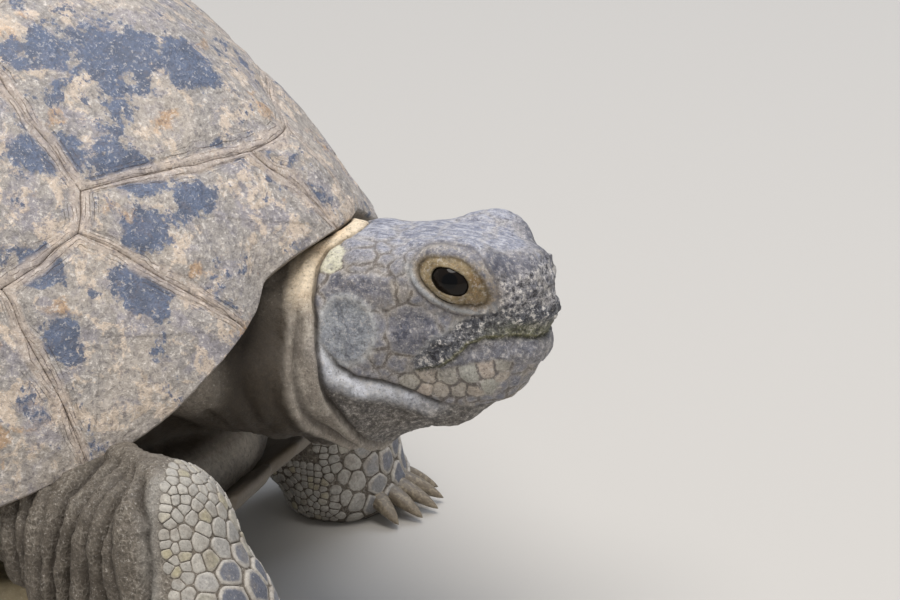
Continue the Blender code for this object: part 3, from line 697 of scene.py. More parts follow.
def hindleg(side, step):
    """Hip, knee and foot of the column-like hind leg; step moves the foot along x."""
    def at(x, y, z, share=1.0):
        return (x + step * share, side * y, z)
    return [
        [(at(-52, 32, 22, 0), (15, 14, 14)), (at(-62, 47, 15, .5), (14, 12, 12.5)),
         (at(-67, 54, 4, .9), (11.5, 11, 12))],
        [(at(-67, 54, 4, .9), (11.5, 11, 12)), (at(-69, 56, -8), (10.5, 10.2, 9))],
        [(at(-69, 56, -8), (10.5, 10.2, 9)), (at(-66.5, 56.5, -14), (11.6, 10.6, 5.2))],
    ]


LEGS = {'foreleg_right': foreleg(-1, (87.4, 52.3, 22), (103.3, 57.6, -1), (106.2, 57.5, -13)),
        'foreleg_left': foreleg(1, (67, 51.5, 13), (68.5, 56, -3), (71, 56.5, -13)),
        'hindleg_right': hindleg(-1, -4), 'hindleg_left': hindleg(1, 8)}
LEGS['foreleg_right'].append([((77, -43, 27.5), (7, 5.5, 5)), ((88, -53, 29), (5.5, 5, 4.6))])
MELT = 2.6                                # mm over which neighbouring masses run together
SLOPE_STEP = .05                          # mm over which the body's slope is taken
MASSES = []
for run in HEAD + NECK + TRUNK + TAIL + [run for leg in LEGS.values() for run in leg]:
    for a, b in list(zip(run, run[1:])) or [(run[0], run[0])]:
        MASSES.append([np.array(v, float) for v in (*a, *b)])


def mass_distance(p, ca, ra, cb, rb):
    """Signed distance, nearly, to the hull of two ellipsoids."""
    ab = cb - ca
    t = np.clip(((p - ca) @ ab) / max(ab @ ab, 1e-9), 0, 1)[:, None]
    r = ra + (rb - ra) * t
    q = (p - ca - ab * t) / r
    k = np.sqrt((q * q).sum(1))
    return k * (k - 1) / np.maximum(np.sqrt(((q / r) ** 2).sum(1)), 1e-9)


def body_distance(p):
    """Signed distance to all masses, melted together; 30 far away."""
    d = np.full(len(p), 30.0)
    for ca, ra, cb, rb in MASSES:
        low, high = np.minimum(ca - ra, cb - rb) - 9, np.maximum(ca + ra, cb + rb) + 9
        near = np.flatnonzero(((p > low) & (p < high)).all(1))
        if len(near):
            e = mass_distance(p[near], ca, ra, cb, rb)
            h = np.clip(.5 + .5 * (e - d[near]) / MELT, 0, 1)
            d[near] = e + (d[near] - e) * h - MELT * h * (1 - h)
    return d


def body_slope(p):
    d = [body_distance(p + offset) for offset in np.eye(3) * SLOPE_STEP]
    return (np.stack(d, 1) - body_distance(p)[:, None]) / SLOPE_STEP


def to_body(p, rounds=2):
    """Points moved onto the body's surface."""
    for _ in range(rounds):
        d = body_distance(p)
        slope = body_slope(p)
        length = np.maximum((slope ** 2).sum(1, keepdims=True), .25)
        p = p - np.clip(slope * d[:, None] / length, -2.5, 2.5)
    return p


def ellipsoid(bm, centre, radii):
    made = bmesh.ops.create_uvsphere(bm, u_segments=16, v_segments=10, radius=1.0)
    for v in made['verts']:
        v.co = in_metres(np.array(v.co) * radii + centre)


def rough_body(grain):
    """All masses as hulls, remeshed into one closed form; returns points in mm and triangles."""
    form = bmesh.new()
    for ca, ra, cb, rb in MASSES:
        one = bmesh.new()
        ellipsoid(one, ca, ra)
        if (ca != cb).any():
            ellipsoid(one, cb, rb)
            hull = bmesh.ops.convex_hull(one, input=one.verts[:])
            left_over = hull['geom_interior'] + hull['geom_unused']
            junk = {g for g in left_over if isinstance(g, bmesh.types.BMVert)}
            bmesh.ops.delete(one, geom=list(junk), context='VERTS')
        piece = bpy.data.meshes.new("hull")
        one.to_mesh(piece)
        one.free()
        form.from_mesh(piece)
    mesh = bpy.data.meshes.new("form")
    form.to_mesh(mesh)
    form.free()
    obj = bpy.data.objects.new("form", mesh)
    bpy.context.scene.collection.objects.link(obj)
    remesh = obj.modifiers.new("remesh", 'REMESH')
    remesh.mode, remesh.voxel_size = 'VOXEL', grain / 1000
    done = bpy.data.meshes.new_from_object(obj.evaluated_get(bpy.context.evaluated_depsgraph_get()))
    bpy.data.objects.remove(obj)
    done.calc_loop_triangles()
    points = np.array([v.co for v in done.vertices]) * 1000 - (MIDDLE_X, 0, BELLY_CLEARANCE)
    return points, np.array([t.vertices for t in done.loop_triangles])


def refine(points, faces, target):
    """Halves edges longer than the target there, keeping it closed; new points go on the body."""
    for _ in range(8):
        edges = np.sort(np.stack([faces, np.roll(faces, -1, axis=1)], -1).reshape(-1, 2), axis=1)
        pairs, which = np.unique(edges[:, 0] * len(points) + edges[:, 1], return_inverse=True)
        a, b = pairs // len(points), pairs % len(points)
        middle = (points[a] + points[b]) / 2
        split = np.linalg.norm(points[a] - points[b], axis=1) > 1.45 * target(middle)
        if not split.any():
            break
        number = np.full(len(pairs), -1)
        number[split] = len(points) + np.arange(split.sum())
        points = np.vstack([points, to_body(middle[split], 1)])
        mid = number[which.reshape(-1)].reshape(-1, 3)
        count = (mid >= 0).sum(1)
        made = [faces[count == 0]]
        for k in range(3):
            turned, m = np.roll(faces, -k, axis=1), np.roll(mid, -k, axis=1)
            one = (count == 1) & (m[:, 0] >= 0)
            f, n = turned[one], m[one]
            made += [np.stack([f[:, 0], n[:, 0], f[:, 2]], 1), np.stack([n[:, 0], f[:, 1], f[:, 2]], 1)]
            two = (count == 2) & (m[:, 2] < 0)
            f, n = turned[two], m[two]
            made += [np.stack([n[:, 0], f[:, 1], n[:, 1]], 1), np.stack([f[:, 0], n[:, 0], n[:, 1]], 1),
                     np.stack([f[:, 0], n[:, 1], f[:, 2]], 1)]
        f, n = faces[count == 3], mid[count == 3]
        made += [np.stack([f[:, 0], n[:, 0], n[:, 2]], 1), np.stack([n[:, 0], f[:, 1], n[:, 1]], 1),
                 np.stack([n[:, 2], n[:, 1], f[:, 2]], 1), n]
        faces = np.vstack(made)
    return points, faces


def relax(points, faces, rounds, amount=.5):
    """Evens out the triangles by drawing each point towards its neighbours."""
    edges = np.sort(np.stack([faces, np.roll(faces, -1, axis=1)], -1).reshape(-1, 2), axis=1)
    edges = np.unique(edges, axis=0)
    number = np.bincount(edges.ravel(), minlength=len(points))[:, None]
    for _ in range(rounds):
        total = np.zeros_like(points)
        for i in range(3):
            total[:, i] = (np.bincount(edges[:, 0], points[edges[:, 1], i], len(points))
                           + np.bincount(edges[:, 1], points[edges[:, 0], i], len(points)))
        points = points + (total / number - points) * amount
    return points


EYE = np.array((116.6, -7.4, 50.6))       # the right eye's middle
EYE_RADIUS = 4.0
GAZE = unit(np.array((.19, -.947, .264)))
SLIT = unit(np.array((.941, .099, -.322)) - GAZE * np.dot((.941, .099, -.322), GAZE))
LID_UP = np.cross(GAZE, SLIT)


def skin_target(p):
    """Wanted edge length in mm."""
    m = p * (1, 0, 1) - (0, 1, 0) * abs(p[:, 1:2])
    want = np.full(len(p), 1.5)
    want[(abs(p[:, 0] + 6) < 62) & (p[:, 2] > 12) & (abs(p[:, 1]) < 44)] = 5
    want = np.where((p[:, 0] > 66) & (abs(p[:, 1]) < 34), .85, want)
    want = np.where((p[:, 1] < -26) & (p[:, 0] > 48), .8, want)
    want = np.where((p[:, 1] < -42) & (p[:, 0] > 60) & (p[:, 0] < 101) & (p[:, 2] > 8), .5, want)
    want = np.where((p[:, 0] > 93.5) & (abs(p[:, 1]) < 22) & (p[:, 2] > 18), .4, want)
    eye = np.linalg.norm(m - EYE - GAZE * 3, axis=1)
    return np.where(eye < 7.2, .22, want)


# Lines of the head in the side view (x, z): mouth, top of the upper beak, foot of the lower one.
MOUTH = np.array([(107, 34.2), (111.4, 36.1), (114.8, 36.7), (116.7, 38), (119.3, 40.4),
                  (121.8, 41.7), (125.6, 41.8), (128.8, 40.8), (132, 40.3)])
BEAK_TOP = np.array([(110, 36.8), (113, 39.7), (115.8, 42.4), (118.9, 45.1), (121.5, 46.6),
                     (124.5, 47.0), (128, 46.6), (132, 46)])
BEAK_FOOT = np.array([(112, 35.0), (115, 36.4), (119.5, 37.6), (124, 38.4), (127, 36.5), (132, 35.5)])
# Where the neck's skin starts behind the head: degrees down from the top, and x.
COLLAR = np.array([(0, 99), (8, 98.8), (16, 97), (24, 95.2), (36, 94.8), (46, 95.2), (57, 95.5),
                   (68, 96.5), (84, 97), (100, 97.6), (116, 98.6), (134, 100.2), (150, 101.7), (180, 103)])
JOWL = np.array([(96.4, -13.7, 43.4), (97.6, -14.1, 40.0), (100.2, -14.0, 36.6), (103.2, -13.2, 34.8),
                 (106.9, -11.5, 34.1), (109.9, -10.0, 32.6), (113.5, -8.4, 30.7), (117.7, -6.3, 29.6)])
EARDRUM = np.array((101.3, -13.6, 42.3))
NOSTRIL = np.array((129.9, -3.1, 50.0))
BEAK_NUB = np.array((131.0, -1.0, 45.9))
# The right forearm's creases, fanned out from the shell's edge: x at the five heights, then depth.
FAN_HEIGHTS = np.array([36, 31.5, 28, 23, 17])
FAN = np.array([(84.8, 88.0, 90.5, 91, 91, .7), (84.2, 83.8, 83.6, 84.2, 85.8, 1.0),
                (83.4, 82.5, 81.9, 81.9, 81.6, 1.7), (82.8, 80.6, 79.3, 78.8, 78.6, 1.2),
                (82.0, 78.1, 76.7, 75.2, 74.4, 1.6), (80.5, 75.8, 73.5, 72.3, 71.8, 1.1),
                (76, 70.7, 69.4, 69.5, 69.8, 1.1), (71, 67.6, 66.7, 66.2, 66.0, .9),
                (67, 64.0, 63.2, 63.8, 64.2, 1.1), (63, 60.2, 59.5, 59.5, 60, 1.0)])


def to_line(p, line):
    """Distance of each point to a chain of points, and how far along the chain, 0..1."""
    best, along = np.full(len(p), 1e9), np.zeros(len(p))
    count = len(line) - 1
    for i, (a, b) in enumerate(zip(line, line[1:])):
        t = np.clip((p - a) @ (b - a) / ((b - a) @ (b - a)), 0, 1)
        d = np.linalg.norm(p - a - t[:, None] * (b - a), axis=1)
        along = np.where(d < best, (i + t) / count, along)
        best = np.minimum(d, best)
    return best, along


# Head scales of the right side, mirrored for the left: the middle and radius of a round one, the
# ends of the middle line and radius of a long one. Those with a name of their own are told apart.
HEAD_SCALES = [
    ((99.2, -11.9, 48.4), (106.0, -11.5, 49.0), 2.5), ((111.3, -11.3, 42.7), 3.9),
    ((106.2, -12.6, 38.1), 1.2), ((108.3, -11.8, 37.4), (110.6, -11.0, 37.3), 1.1),
    ((106.9, -12.0, 35.9), .7), ((104.6, -13.1, 37.3), .9),
    ((106.3, -12.4, 44.2), (106.4, -12.6, 41.0), .9),
    ((116.6, -9.8, 44.9), (115.8, -9.9, 45.3), 1.3), ((99.7, -8.4, 53.0), (102.8, -8.3, 53.3), 1.3),
    ((104.8, -6.7, 54.4), 1.2), ((105.8, -8.8, 53.0), 1.1), ((107.3, -7.4, 54.3), 1.1),
    ((108.0, -9.5, 52.5), 1.1), ((101.6, -10.5, 51.4), (103.0, -10.4, 51.5), 1.0),
    ((106.0, -10.3, 51.3), 1.0), ((109.2, -10.9, 50.0), (109.5, -11.1, 48.6), .8),
    ((97.0, -8.9, 51.9), (96.4, -7.2, 53.1), 1.5), ((123.4, -6.2, 54.0), (126.8, -3.4, 53.5), 2.4),
    ((113.2, -9.7, 35.5), 1.3), ((116.1, -8.9, 35.4), 1.4), ((119.2, -8.0, 35.9), 1.5),
    ((121.8, -7.6, 36.5), 1.2), ((124.0, -6.9, 37.0), 1.1), ((110.3, -10.3, 34.0), 1.2),
    ((112.4, -9.4, 32.9), 1.1), ((114.8, -8.7, 33.0), 1.1), ((117.3, -7.8, 33.1), 1.2),
    ((119.5, -7.0, 33.3), 1.1), ((122.0, -7.0, 34.1), 1.0), ((124.0, -6.8, 35.2), .9),
    ((100.3, -3.7, 55.4), (103.6, -2.4, 55.8), 1.7), ((98.3, -5.9, 54.2), (101.0, -5.6, 54.8), 1.2),
    ((107.6, -2.4, 56.3), (110.2, -2.6, 56.8), 2.0),
    ((109.8, -5.9, 55.8), (110.6, -5.9, 56.0), 1.5),
    ((114.2, -2.0, 57.1), (117.2, -2.0, 57.1), 2.3),
    ((114.1, -7.3, 56.4), (114.4, -6.4, 56.8), 1.3),
    ((118.4, -6.2, 56.6), (119.6, -6.0, 56.3), 1.4),
    ((121.6, -2.0, 56.1), (123.0, -2.0, 55.6), 1.9),
]
HEAD_SCALES = [(scale[0], scale[-2], scale[-1]) for scale in HEAD_SCALES]
TEMPLE, CHEEK, NAPE, PREFRONTAL, JAW = 0, 1, 16, 17, slice(18, 30)


def scale_map(p, seeds):
    """For each point: distance to the nearest seam between scales, and which scale it lies in."""
    first, second = np.full(len(p), 1e9), np.full(len(p), 1e9)
    which = np.zeros(len(p), int)
    for number, (a, b, r) in enumerate(seeds):
        a, b = np.asarray(a, float), np.asarray(b, float)
        near = np.flatnonzero((np.abs(p - (a + b) / 2) < np.abs(b - a) / 2 + r + 4.5).all(1))
        q = p[near]
        t = np.clip((q - a) @ (b - a) / max((b - a) @ (b - a), 1e-9), 0, 1)
        d = np.linalg.norm(q - a - t[:, None] * (b - a), axis=1) - r
        old = first[near]
        closer = d < old
        second[near] = np.where(closer, old, np.minimum(second[near], d))
        first[near] = np.minimum(d, old)
        which[near[closer]] = number
    return np.clip((second - first) / 2, 0, 3), which


def scatter(candidates, radius, seeds, rng, spread=1.9):
    """Adds small round scales wherever there is room between those there are."""
    placed = np.array([(np.asarray(a, float) + b) / 2 for a, b, r in seeds])
    sizes = np.array([r + np.linalg.norm(np.subtract(a, b)) / 2 for a, b, r in seeds])
    for i in rng.permutation(len(candidates)):
        p, r = candidates[i], radius[i]
        if (np.linalg.norm(placed - p, axis=1) >= (sizes + r) * spread / 2).all():
            placed, sizes = np.vstack([placed, p]), np.append(sizes, r)
            seeds.append((p, p, r * .6))
    return seeds


def past_scale_line(p):
    """How far in mm a place on a foreleg is in front of the line where its scales begin."""
    x, y, z = p.T
    return np.where(y < 0, x - .05 * (z - 25) - 92 - .35 * (22 - z), x - 67.5 - .1 * (13 - z))


def sculpt(points, normals):
    """Moves the skin's points to their folds, lids and scales; returns them and the masks of each."""
    flip = np.where(points[:, 1:2] > 0, (1, -1, 1), (1, 1, 1))
    m, n = points * flip, normals * flip
    x, y, z = m.T
    height = np.zeros(len(m))
    shift = np.zeros_like(m)
    mask = {}
    round_neck = np.degrees(np.arctan2(-y, z - 38))
    behind = x - np.interp(round_neck, COLLAR[:, 0], COLLAR[:, 1])
    of_head = fade(-1.2, .6, behind) * (abs(y) < 20) * (z > 15)
    of_neck = (x > 66) * fade(-28, -24, y) * fade(10, 16, z) * (1 - of_head)

    # Eye: ball surface, lids round the slit, the fold outside them.
    off = m - EYE
    u, v, w = off @ SLIT, off @ LID_UP, off @ GAZE
    level = np.hypot(u, v)
    u, v = u + noise(m, 2.4, 25) * .16, v + noise(m, 2.4, 26) * .13 + .035 * np.clip(u - 1, 0, 4) ** 2
    at_eye = (w > 0) & (level < 9)
    margin = np.sqrt((u / 3.0) ** 2 + ((v + .12) / 1.9) ** 2)
    outer = np.sqrt((abs(u - .35) / 5.65) ** 1.6 + ((v - .05) / 3.3) ** 2)
    ball = np.sqrt(np.clip(EYE_RADIUS ** 2 - np.minimum(level, 3.5) ** 2, 0, None))
    across = np.clip((margin - 1) / np.maximum(margin - outer, 1e-3), 0, 1)
    shut = fade(0, 1, across)
    lid = (ball + .34) * (1 - shut) + (w - .22) * shut + .22 * np.sin(np.pi * across)
    clear_of_ball = np.sqrt(np.clip(16.8 - level ** 2, 0, None)) + .26
    lid = np.where(level < 4.1, np.maximum(lid, clear_of_ball), lid)
    deep = ball - .7 - .6 * (1 - margin)
    inside = fade(1.05, .95, margin)
    wanted = lid * (1 - inside) + deep * inside
    on_lid = at_eye & (outer < 1)
    shift[on_lid] += (wanted - w)[on_lid, None] * GAZE
    past = (outer - 1) * 4.3
    fold = np.sqrt(((u - .3) / 7.0) ** 2 + ((v - .3) / 5.2) ** 2)
    past_fold = (fold - 1) * 6
    around = at_eye * (outer >= 1)
    under_eye = fade(1.5, -1, v + .25 * u)
    ditch = (.25 + .35 * under_eye) * hump(past, .26)
    height += around * (.26 * hump(past - .95, .6) - ditch - .24 * hump(past_fold, .28))
    pouch = at_eye * fade(1.8, 3.2, u) * (outer < 1)
    height -= .16 * pouch * (np.sin(u * 5.5 + v) > .3)
    height -= around * fade(2.5, 5, v) * .16 * hump(past - .55, .2)
    mask['orbit'] = at_eye * fade(1.1, .95, fold)
    mask['pale'] = around * hump(past - .85, .55) * fade(.8, -1.2, v)
    mask['gold'] = np.where(at_eye, fade(1.18, .98, outer) * fade(.9, 1.0, margin), 0)
    # Painted shade in the ditch round the lids, in the fold outside them and at the slit's edge.
    lines = np.maximum(hump(past, .26) * (.55 + .45 * under_eye), .45 * hump(past_fold, .28))
    mask['rim_line'] = np.where(at_eye, lines + .8 * hump((margin - 1) * 2.5, .16), 0)
    mask['canthus'] = np.where(at_eye, fade(1.6, 3.4, u) * fade(1.6, 1.0, outer), 0)
    of_eye = at_eye * fade(1.12, .98, fold)

    # Mouth: the line, the upper beak over it, the lower beak in behind it.
    slope = np.gradient(MOUTH[:, 1], MOUTH[:, 0])
    lean = np.sqrt(1 + np.interp(x, MOUTH[:, 0], slope) ** 2)
    above = (z - np.interp(x, MOUTH[:, 0], MOUTH[:, 1])) / lean
    gape = fade(110.3, 112.2, x)
    height += gape * (-.5 * hump(above, .3) + .2 * hump(above - .75, .6) - .1 * hump(above + .8, .7))
    beak_top = (z - np.interp(x, BEAK_TOP[:, 0], BEAK_TOP[:, 1])) / lean + noise(m, 2.2, 23, 3) * .8
    upper = fade(.5, -.4, beak_top) * fade(-.25, .05, above) * gape
    low_edge = z - np.interp(x, BEAK_FOOT[:, 0], BEAK_FOOT[:, 1])
    lower = fade(-.3, .4, low_edge) * fade(.1, -.2, above) * fade(113.5, 115.5, x)
    height -= .3 * hump(beak_top, .3) * gape * fade(123, 120, x)
    height -= .25 * hump(low_edge, .25) * fade(114, 116, x) * (above < -.3)
    snout = fade(119.5, 123, x + noise(m, 2, 24) * 1.5) * fade(42, 44, z) * (1 - of_eye)
    snout *= fade(1.4, -.4, z - 51 - 1.6 * fade(126, 129, x) + noise(m, 2, 27) * .8)
    rough = np.maximum(upper, np.maximum(lower * .8, snout * fade(54, 51, z)))
    height += rough * (noise(m, 1.6, 21, 3) * .42 + np.clip(noise(m, .8, 22), -.3, 1) * .22)
    chin_plate = lower * (above < -.2)
    plate_groove = .42 * hump(x - 125.3 + .25 * (z - 38), .22)
    height += chin_plate * (.3 * fade(125.4, 126.2, x) * fade(131, 128, x) - plate_groove)
    shift[:, 0] -= 1.3 * fade(126.5, 131, x) * fade(44, 46.5, z) * fade(57, 53, z)
    from_nostril = np.linalg.norm(m - NOSTRIL, axis=1)
    height += .2 * hump(from_nostril - 1.1, .4) - .9 * hump(from_nostril, .6)
    height += .9 * hump(np.linalg.norm(m - BEAK_NUB, axis=1), 1.2)
    mask['mouth'] = gape * hump(above - .15, .28)
    mask['beak'] = np.maximum(upper, lower * .3)
    tip_moss = fade(119, 126, x) * hump(above - 1.2, 1.3) * .7
    mask['moss'] = gape * np.maximum(tip_moss, fade(112, 117, x) * hump(above - .45, .35))
    mask['snout'] = snout

    # Eardrum, jowl and collar.
    drum = np.where(y < -8, np.hypot((x - EARDRUM[0]) / 4.0, (z - EARDRUM[2]) / 4.7), 9)
    drum_rim = .2 * hump(drum - 1.1, .1) * fade(38, 40.5, z)
    height += drum_rim + .1 * hump(drum, .4) - .28 * fade(1.0, .8, drum)
    mask['drum'] = fade(1.06, .94, drum)
    mask['pale'] = np.maximum(mask['pale'], hump(drum - 1.1, .13) * .9)
    mask['pale'] = np.maximum(mask['pale'], gape * hump(beak_top - .35, .35) * fade(122, 118, x) * .6)
    d, along = to_line(m, JOWL)
    below_jowl = z - np.interp(x, JOWL[:, 0], JOWL[:, 2])
    lower_side = below_jowl < 0
    ends = fade(0, .2, along) * fade(1, .85, along)
    throat = of_head * fade(.5, -.4, below_jowl)
    height += (-.55 * hump(d, .36) + 1.0 * np.where(lower_side, hump(d - 2.1, 1.6), 0)) * ends
    # The jowl roll's pale colour is partly its own and partly painted light where the roll catches the
    # light.
    mask['jowl'] = np.where(lower_side, fade(4.5, 2, d), 0) * ends
    low = fade(58, 78, round_neck)
    here = (x > 80) * (abs(y) < 26) * (z > 8)
    width = 1.9 - .7 * low
    ridges = .95 * hump(behind + width, width * .6) + .75 * low * hump(behind + 3.8, .65)
    grooves = .9 * hump(behind, .42) + .6 * low * hump(behind + 2.7, .4)
    grooves = grooves + .45 * hump(behind + 8.5, .6) + .4 * hump(behind + 12 + .08 * z, .6)
    sunk = .7 * low * fade(-4.3, -5.6, behind) * fade(-20, -8, behind)
    height += here * (ridges - grooves - sunk)
    shift[:, 0] += here * .75 * hump(behind + .95, .6)
    cleft = to_line(m, np.array([(80, -34.5, 38), (83, -28.5, 31), (84.5, -25, 27)]))[0]
    height -= here * 2.6 * hump(cleft, 1.4)
    # Painted shade: the neck goes near black where it runs in under the shell's rim, ragged at its edge.
    ragged = fade(-3.3, -4.5, behind + noise(m, 3, 37) * .4)
    mask['deep'] = of_neck * (.8 + .2 * low) * ragged * fade(15, 20, z)
    mask['cream'] = fade(43, 49, z)
    # Painted light: the chest skin low in the hollow under the neck is made pale where it lies in shade.
    mask['chest'] = (x > 60) * (abs(y) < 30) * fade(20, 16, z) * (1 - of_head)
    mask['collar'] = here * fade(.25, -.3, behind) * fade(-4.8, -2.8, behind)
    # Painted shade in the creases of jowl, collar and neck, at the eardrum's edge and in the cleft by the
    # shoulder.
    crease = np.maximum.reduce([
        hump(d, .4) * ends, here * hump(behind - .1, .5), .45 * hump(drum - 1.02, .05) * fade(39, 37, z),
        here * low * hump(behind + 2.7, .45) * .8, here * hump(behind + 8.5, .6) * .7,
        here * hump(cleft, 1.3)])

    # Loose skin of the neck: rings of wrinkles and a few deep folds towards the shell.
    ring = m * (1, .22, .22)
    height += of_neck * fade(-3, -9, behind) * (noise(ring, 2.6, 31, 3) * .38 + noise(m, 9, 32) * .5)
    height += of_neck * noise(m, .9, 33) * .06
    height += throat * (noise(m, .8, 35) * .11 + noise(m * (.5, 1, 1), 1.8, 36) * .16)
    height += (of_neck + throat) * np.abs(noise(m * (1, 1, .6), 3.2, 34, 3)) * -.3
    mask['throat'] = throat
    mask['low'] = fade(46, 26, z)

    # Creases of the limbs run up and down behind the scaled front; fine wrinkles cross them.
    limb = fade(-30, -38, y) * (x > 50) + (x < -40) * fade(-30, -40, y)
    back_of = past_scale_line(points)
    wander = noise(m, 11, 41) * 1.2 + noise(m, 4, 42) * .4
    pleat = np.abs(np.sin(np.pi * (back_of + wander) / 4.1))
    near_fore = (points[:, 1] < 0) & (x > 0)
    loose = limb * np.where(x > 0, fade(2.5, -2.5, back_of) * fade(-16, -6, z), fade(-10, 8, z) * .5)
    rings = loose * ~near_fore * np.clip(.7 + noise(m, 8, 45) * .5, .1, 1)
    height += rings * (pleat ** .6 * 1.25 - 1.0)
    # Painted shade in the folds between the rings.
    crease = np.maximum(crease, rings * fade(.35, .0, pleat))
    drop = np.clip((33 - z) / 17, -.2, 1.6)
    fan = near_fore * fade(-30, -40, y) * fade(-14, 2, z) * fade(1.0, .85, n[:, 2])
    for i, row in enumerate(FAN):
        middle, depth = np.interp(-z, -FAN_HEIGHTS, row[:5]), row[5]
        lean = np.hypot(1, np.interp(-z, -FAN_HEIGHTS, np.gradient(row[:5], FAN_HEIGHTS)))
        d = (x - middle) / lean + noise(m, 7, 70 + i) * .45 + noise(m, 2.2, 80 + i) * .16
        strength = np.clip(.95 + noise(m * (.4, .4, 1), 7, 90 + i) * .5, .45, 1.3)
        height -= 2.0 * fan * depth * strength * np.exp(-abs(d) / .75)
        # Painted shade in and beside each crease of the forearm.
        shadow = .6 * hump(d, .5) + .5 * np.exp(-abs(d))
        crease = np.maximum(crease, fan * strength * min(depth, 1) * shadow)
    folds = fan * fade(2.5, -1, back_of)
    ripple, pinch = noise(m * (1, 1, .35), 2.2, 46, 3), noise(m * (.7, .7, 1.2), 1.4, 47)
    height += folds * (.3 + ripple * .2 - np.abs(pinch) * .3)
    height += limb * (noise(m * (1, 1, .4), 1.5, 43) * .1 + noise(m, .8, 44) * .06)
    mask['ridge'] = fan * hump(x - (89.6 + 2.8 * drop.clip(0, 1)), 1.3) * fade(36, 32, z)
    mask['limb'] = limb

    # Scales of the head: the placed ones and a scatter between them.
    rng = np.random.default_rng(7)
    bare = np.maximum.reduce([of_eye, upper, lower, fade(1.15, 1.0, drum), snout, throat])
    free = (of_head > .9) & (bare < .3) & (behind > .6)
    candidates = m[free]
    chin = fade(33, 29, candidates[:, 2])
    size = 1.15 - .6 * chin - .25 * fade(112, 120, candidates[:, 0]) * (candidates[:, 2] > 44)
    seeds = scatter(candidates, size, list(HEAD_SCALES), rng)
    bent = m + np.stack([noise(m, 1.6, s) for s in (53, 54, 55)], -1) * .3
    seam, which = scale_map(bent, seeds)
    scaly = of_head * (1 - bare)
    clear = scaly * (1 - .35 * fade(52.5, 55.5, z)) * np.clip(.95 + noise(m, 3, 56) * .35, .4, 1)
    height += clear * (-.13 * hump(seam, .18) + .12 * fade(0, .9, seam))
    tone = np.random.default_rng(3).random(len(seeds) + 1)
    dark = tone ** 1.5 * .7
    dark[[TEMPLE, CHEEK, PREFRONTAL, NAPE]] = .9, 1.0, 1.0, 0
    dark[JAW] *= .3
    mask['seam'] = clear * np.exp(-(seam / .5) ** 2)
    mask['dark'] = scaly * dark[which] * fade(.1, 1.3, seam)
    mask['crown'] = of_head * fade(51.5, 54.5, z) * (1 - .85 * (which == PREFRONTAL) * fade(0, .5, seam))
    brow_groove = hump(abs(points[:, 1]) - 3.3, .45) * fade(110, 113, x) * fade(126, 124, x)
    height -= .4 * of_head * brow_groove * fade(53.5, 55, z)
    mask['tone'] = tone[which] * scaly + (1 - scaly) * .5
    mask['green'] = scaly * (which == NAPE)
    mask['jaw'] = scaly * ((which >= JAW.start) & (which < JAW.stop))
    height += of_head * (noise(m, 5, 51) * .15 + noise(m, 1.2, 52) * .05)
    mask['head'] = of_head
    mask['crease'] = np.clip(crease, 0, 1)
    moved = m + n * height[:, None] + shift
    moved *= flip
    moved[:, 2] = np.maximum(moved[:, 2], -BELLY_CLEARANCE)
    return moved, mask


def keep_under_shell(p):
    """Skin inside the dome stays behind the horn."""
    ray = p - HEART
    reach = np.linalg.norm(ray, axis=1)
    hit = on_dome(unit(ray))[0]
    level = np.hypot(ray[:, 0], ray[:, 1])
    limit = np.linalg.norm(hit - HEART, axis=1) - 2.8
    bearing = np.degrees(np.arctan2(ray[:, 1], ray[:, 0]))
    rise = ROUND_RIM[:, 2] / np.hypot(ROUND_RIM[:, 0], ROUND_RIM[:, 1])
    rim_slope = np.interp(bearing, ROUND_BEARING, rise)
    rim = dome(np.interp(bearing, ROUND_BEARING, ROUND), 1.0) - HEART
    rim_level = np.hypot(rim[:, 0], rim[:, 1])
    under = (ray[:, 2] / np.maximum(level, 1e-6) > rim_slope + .01) & (reach > limit)
    share = (under * fade(1.0, -1.5, level - rim_level))[:, None]
    return p * (1 - share) + (HEART + ray / reach[:, None] * limit[:, None]) * share


points, faces = rough_body(2.4)
points = relax(to_body(points, 3), faces, 3)
points, faces = refine(to_body(points), faces, skin_target)
points = to_body(relax(points, faces, 2, .4))
normals = unit(body_slope(points))
points_base, normals_base = points, normals
points, skin_mask = sculpt(points, normals)
points = keep_under_shell(points)
skin = mesh_piece('skin', points, faces, skin_mask)


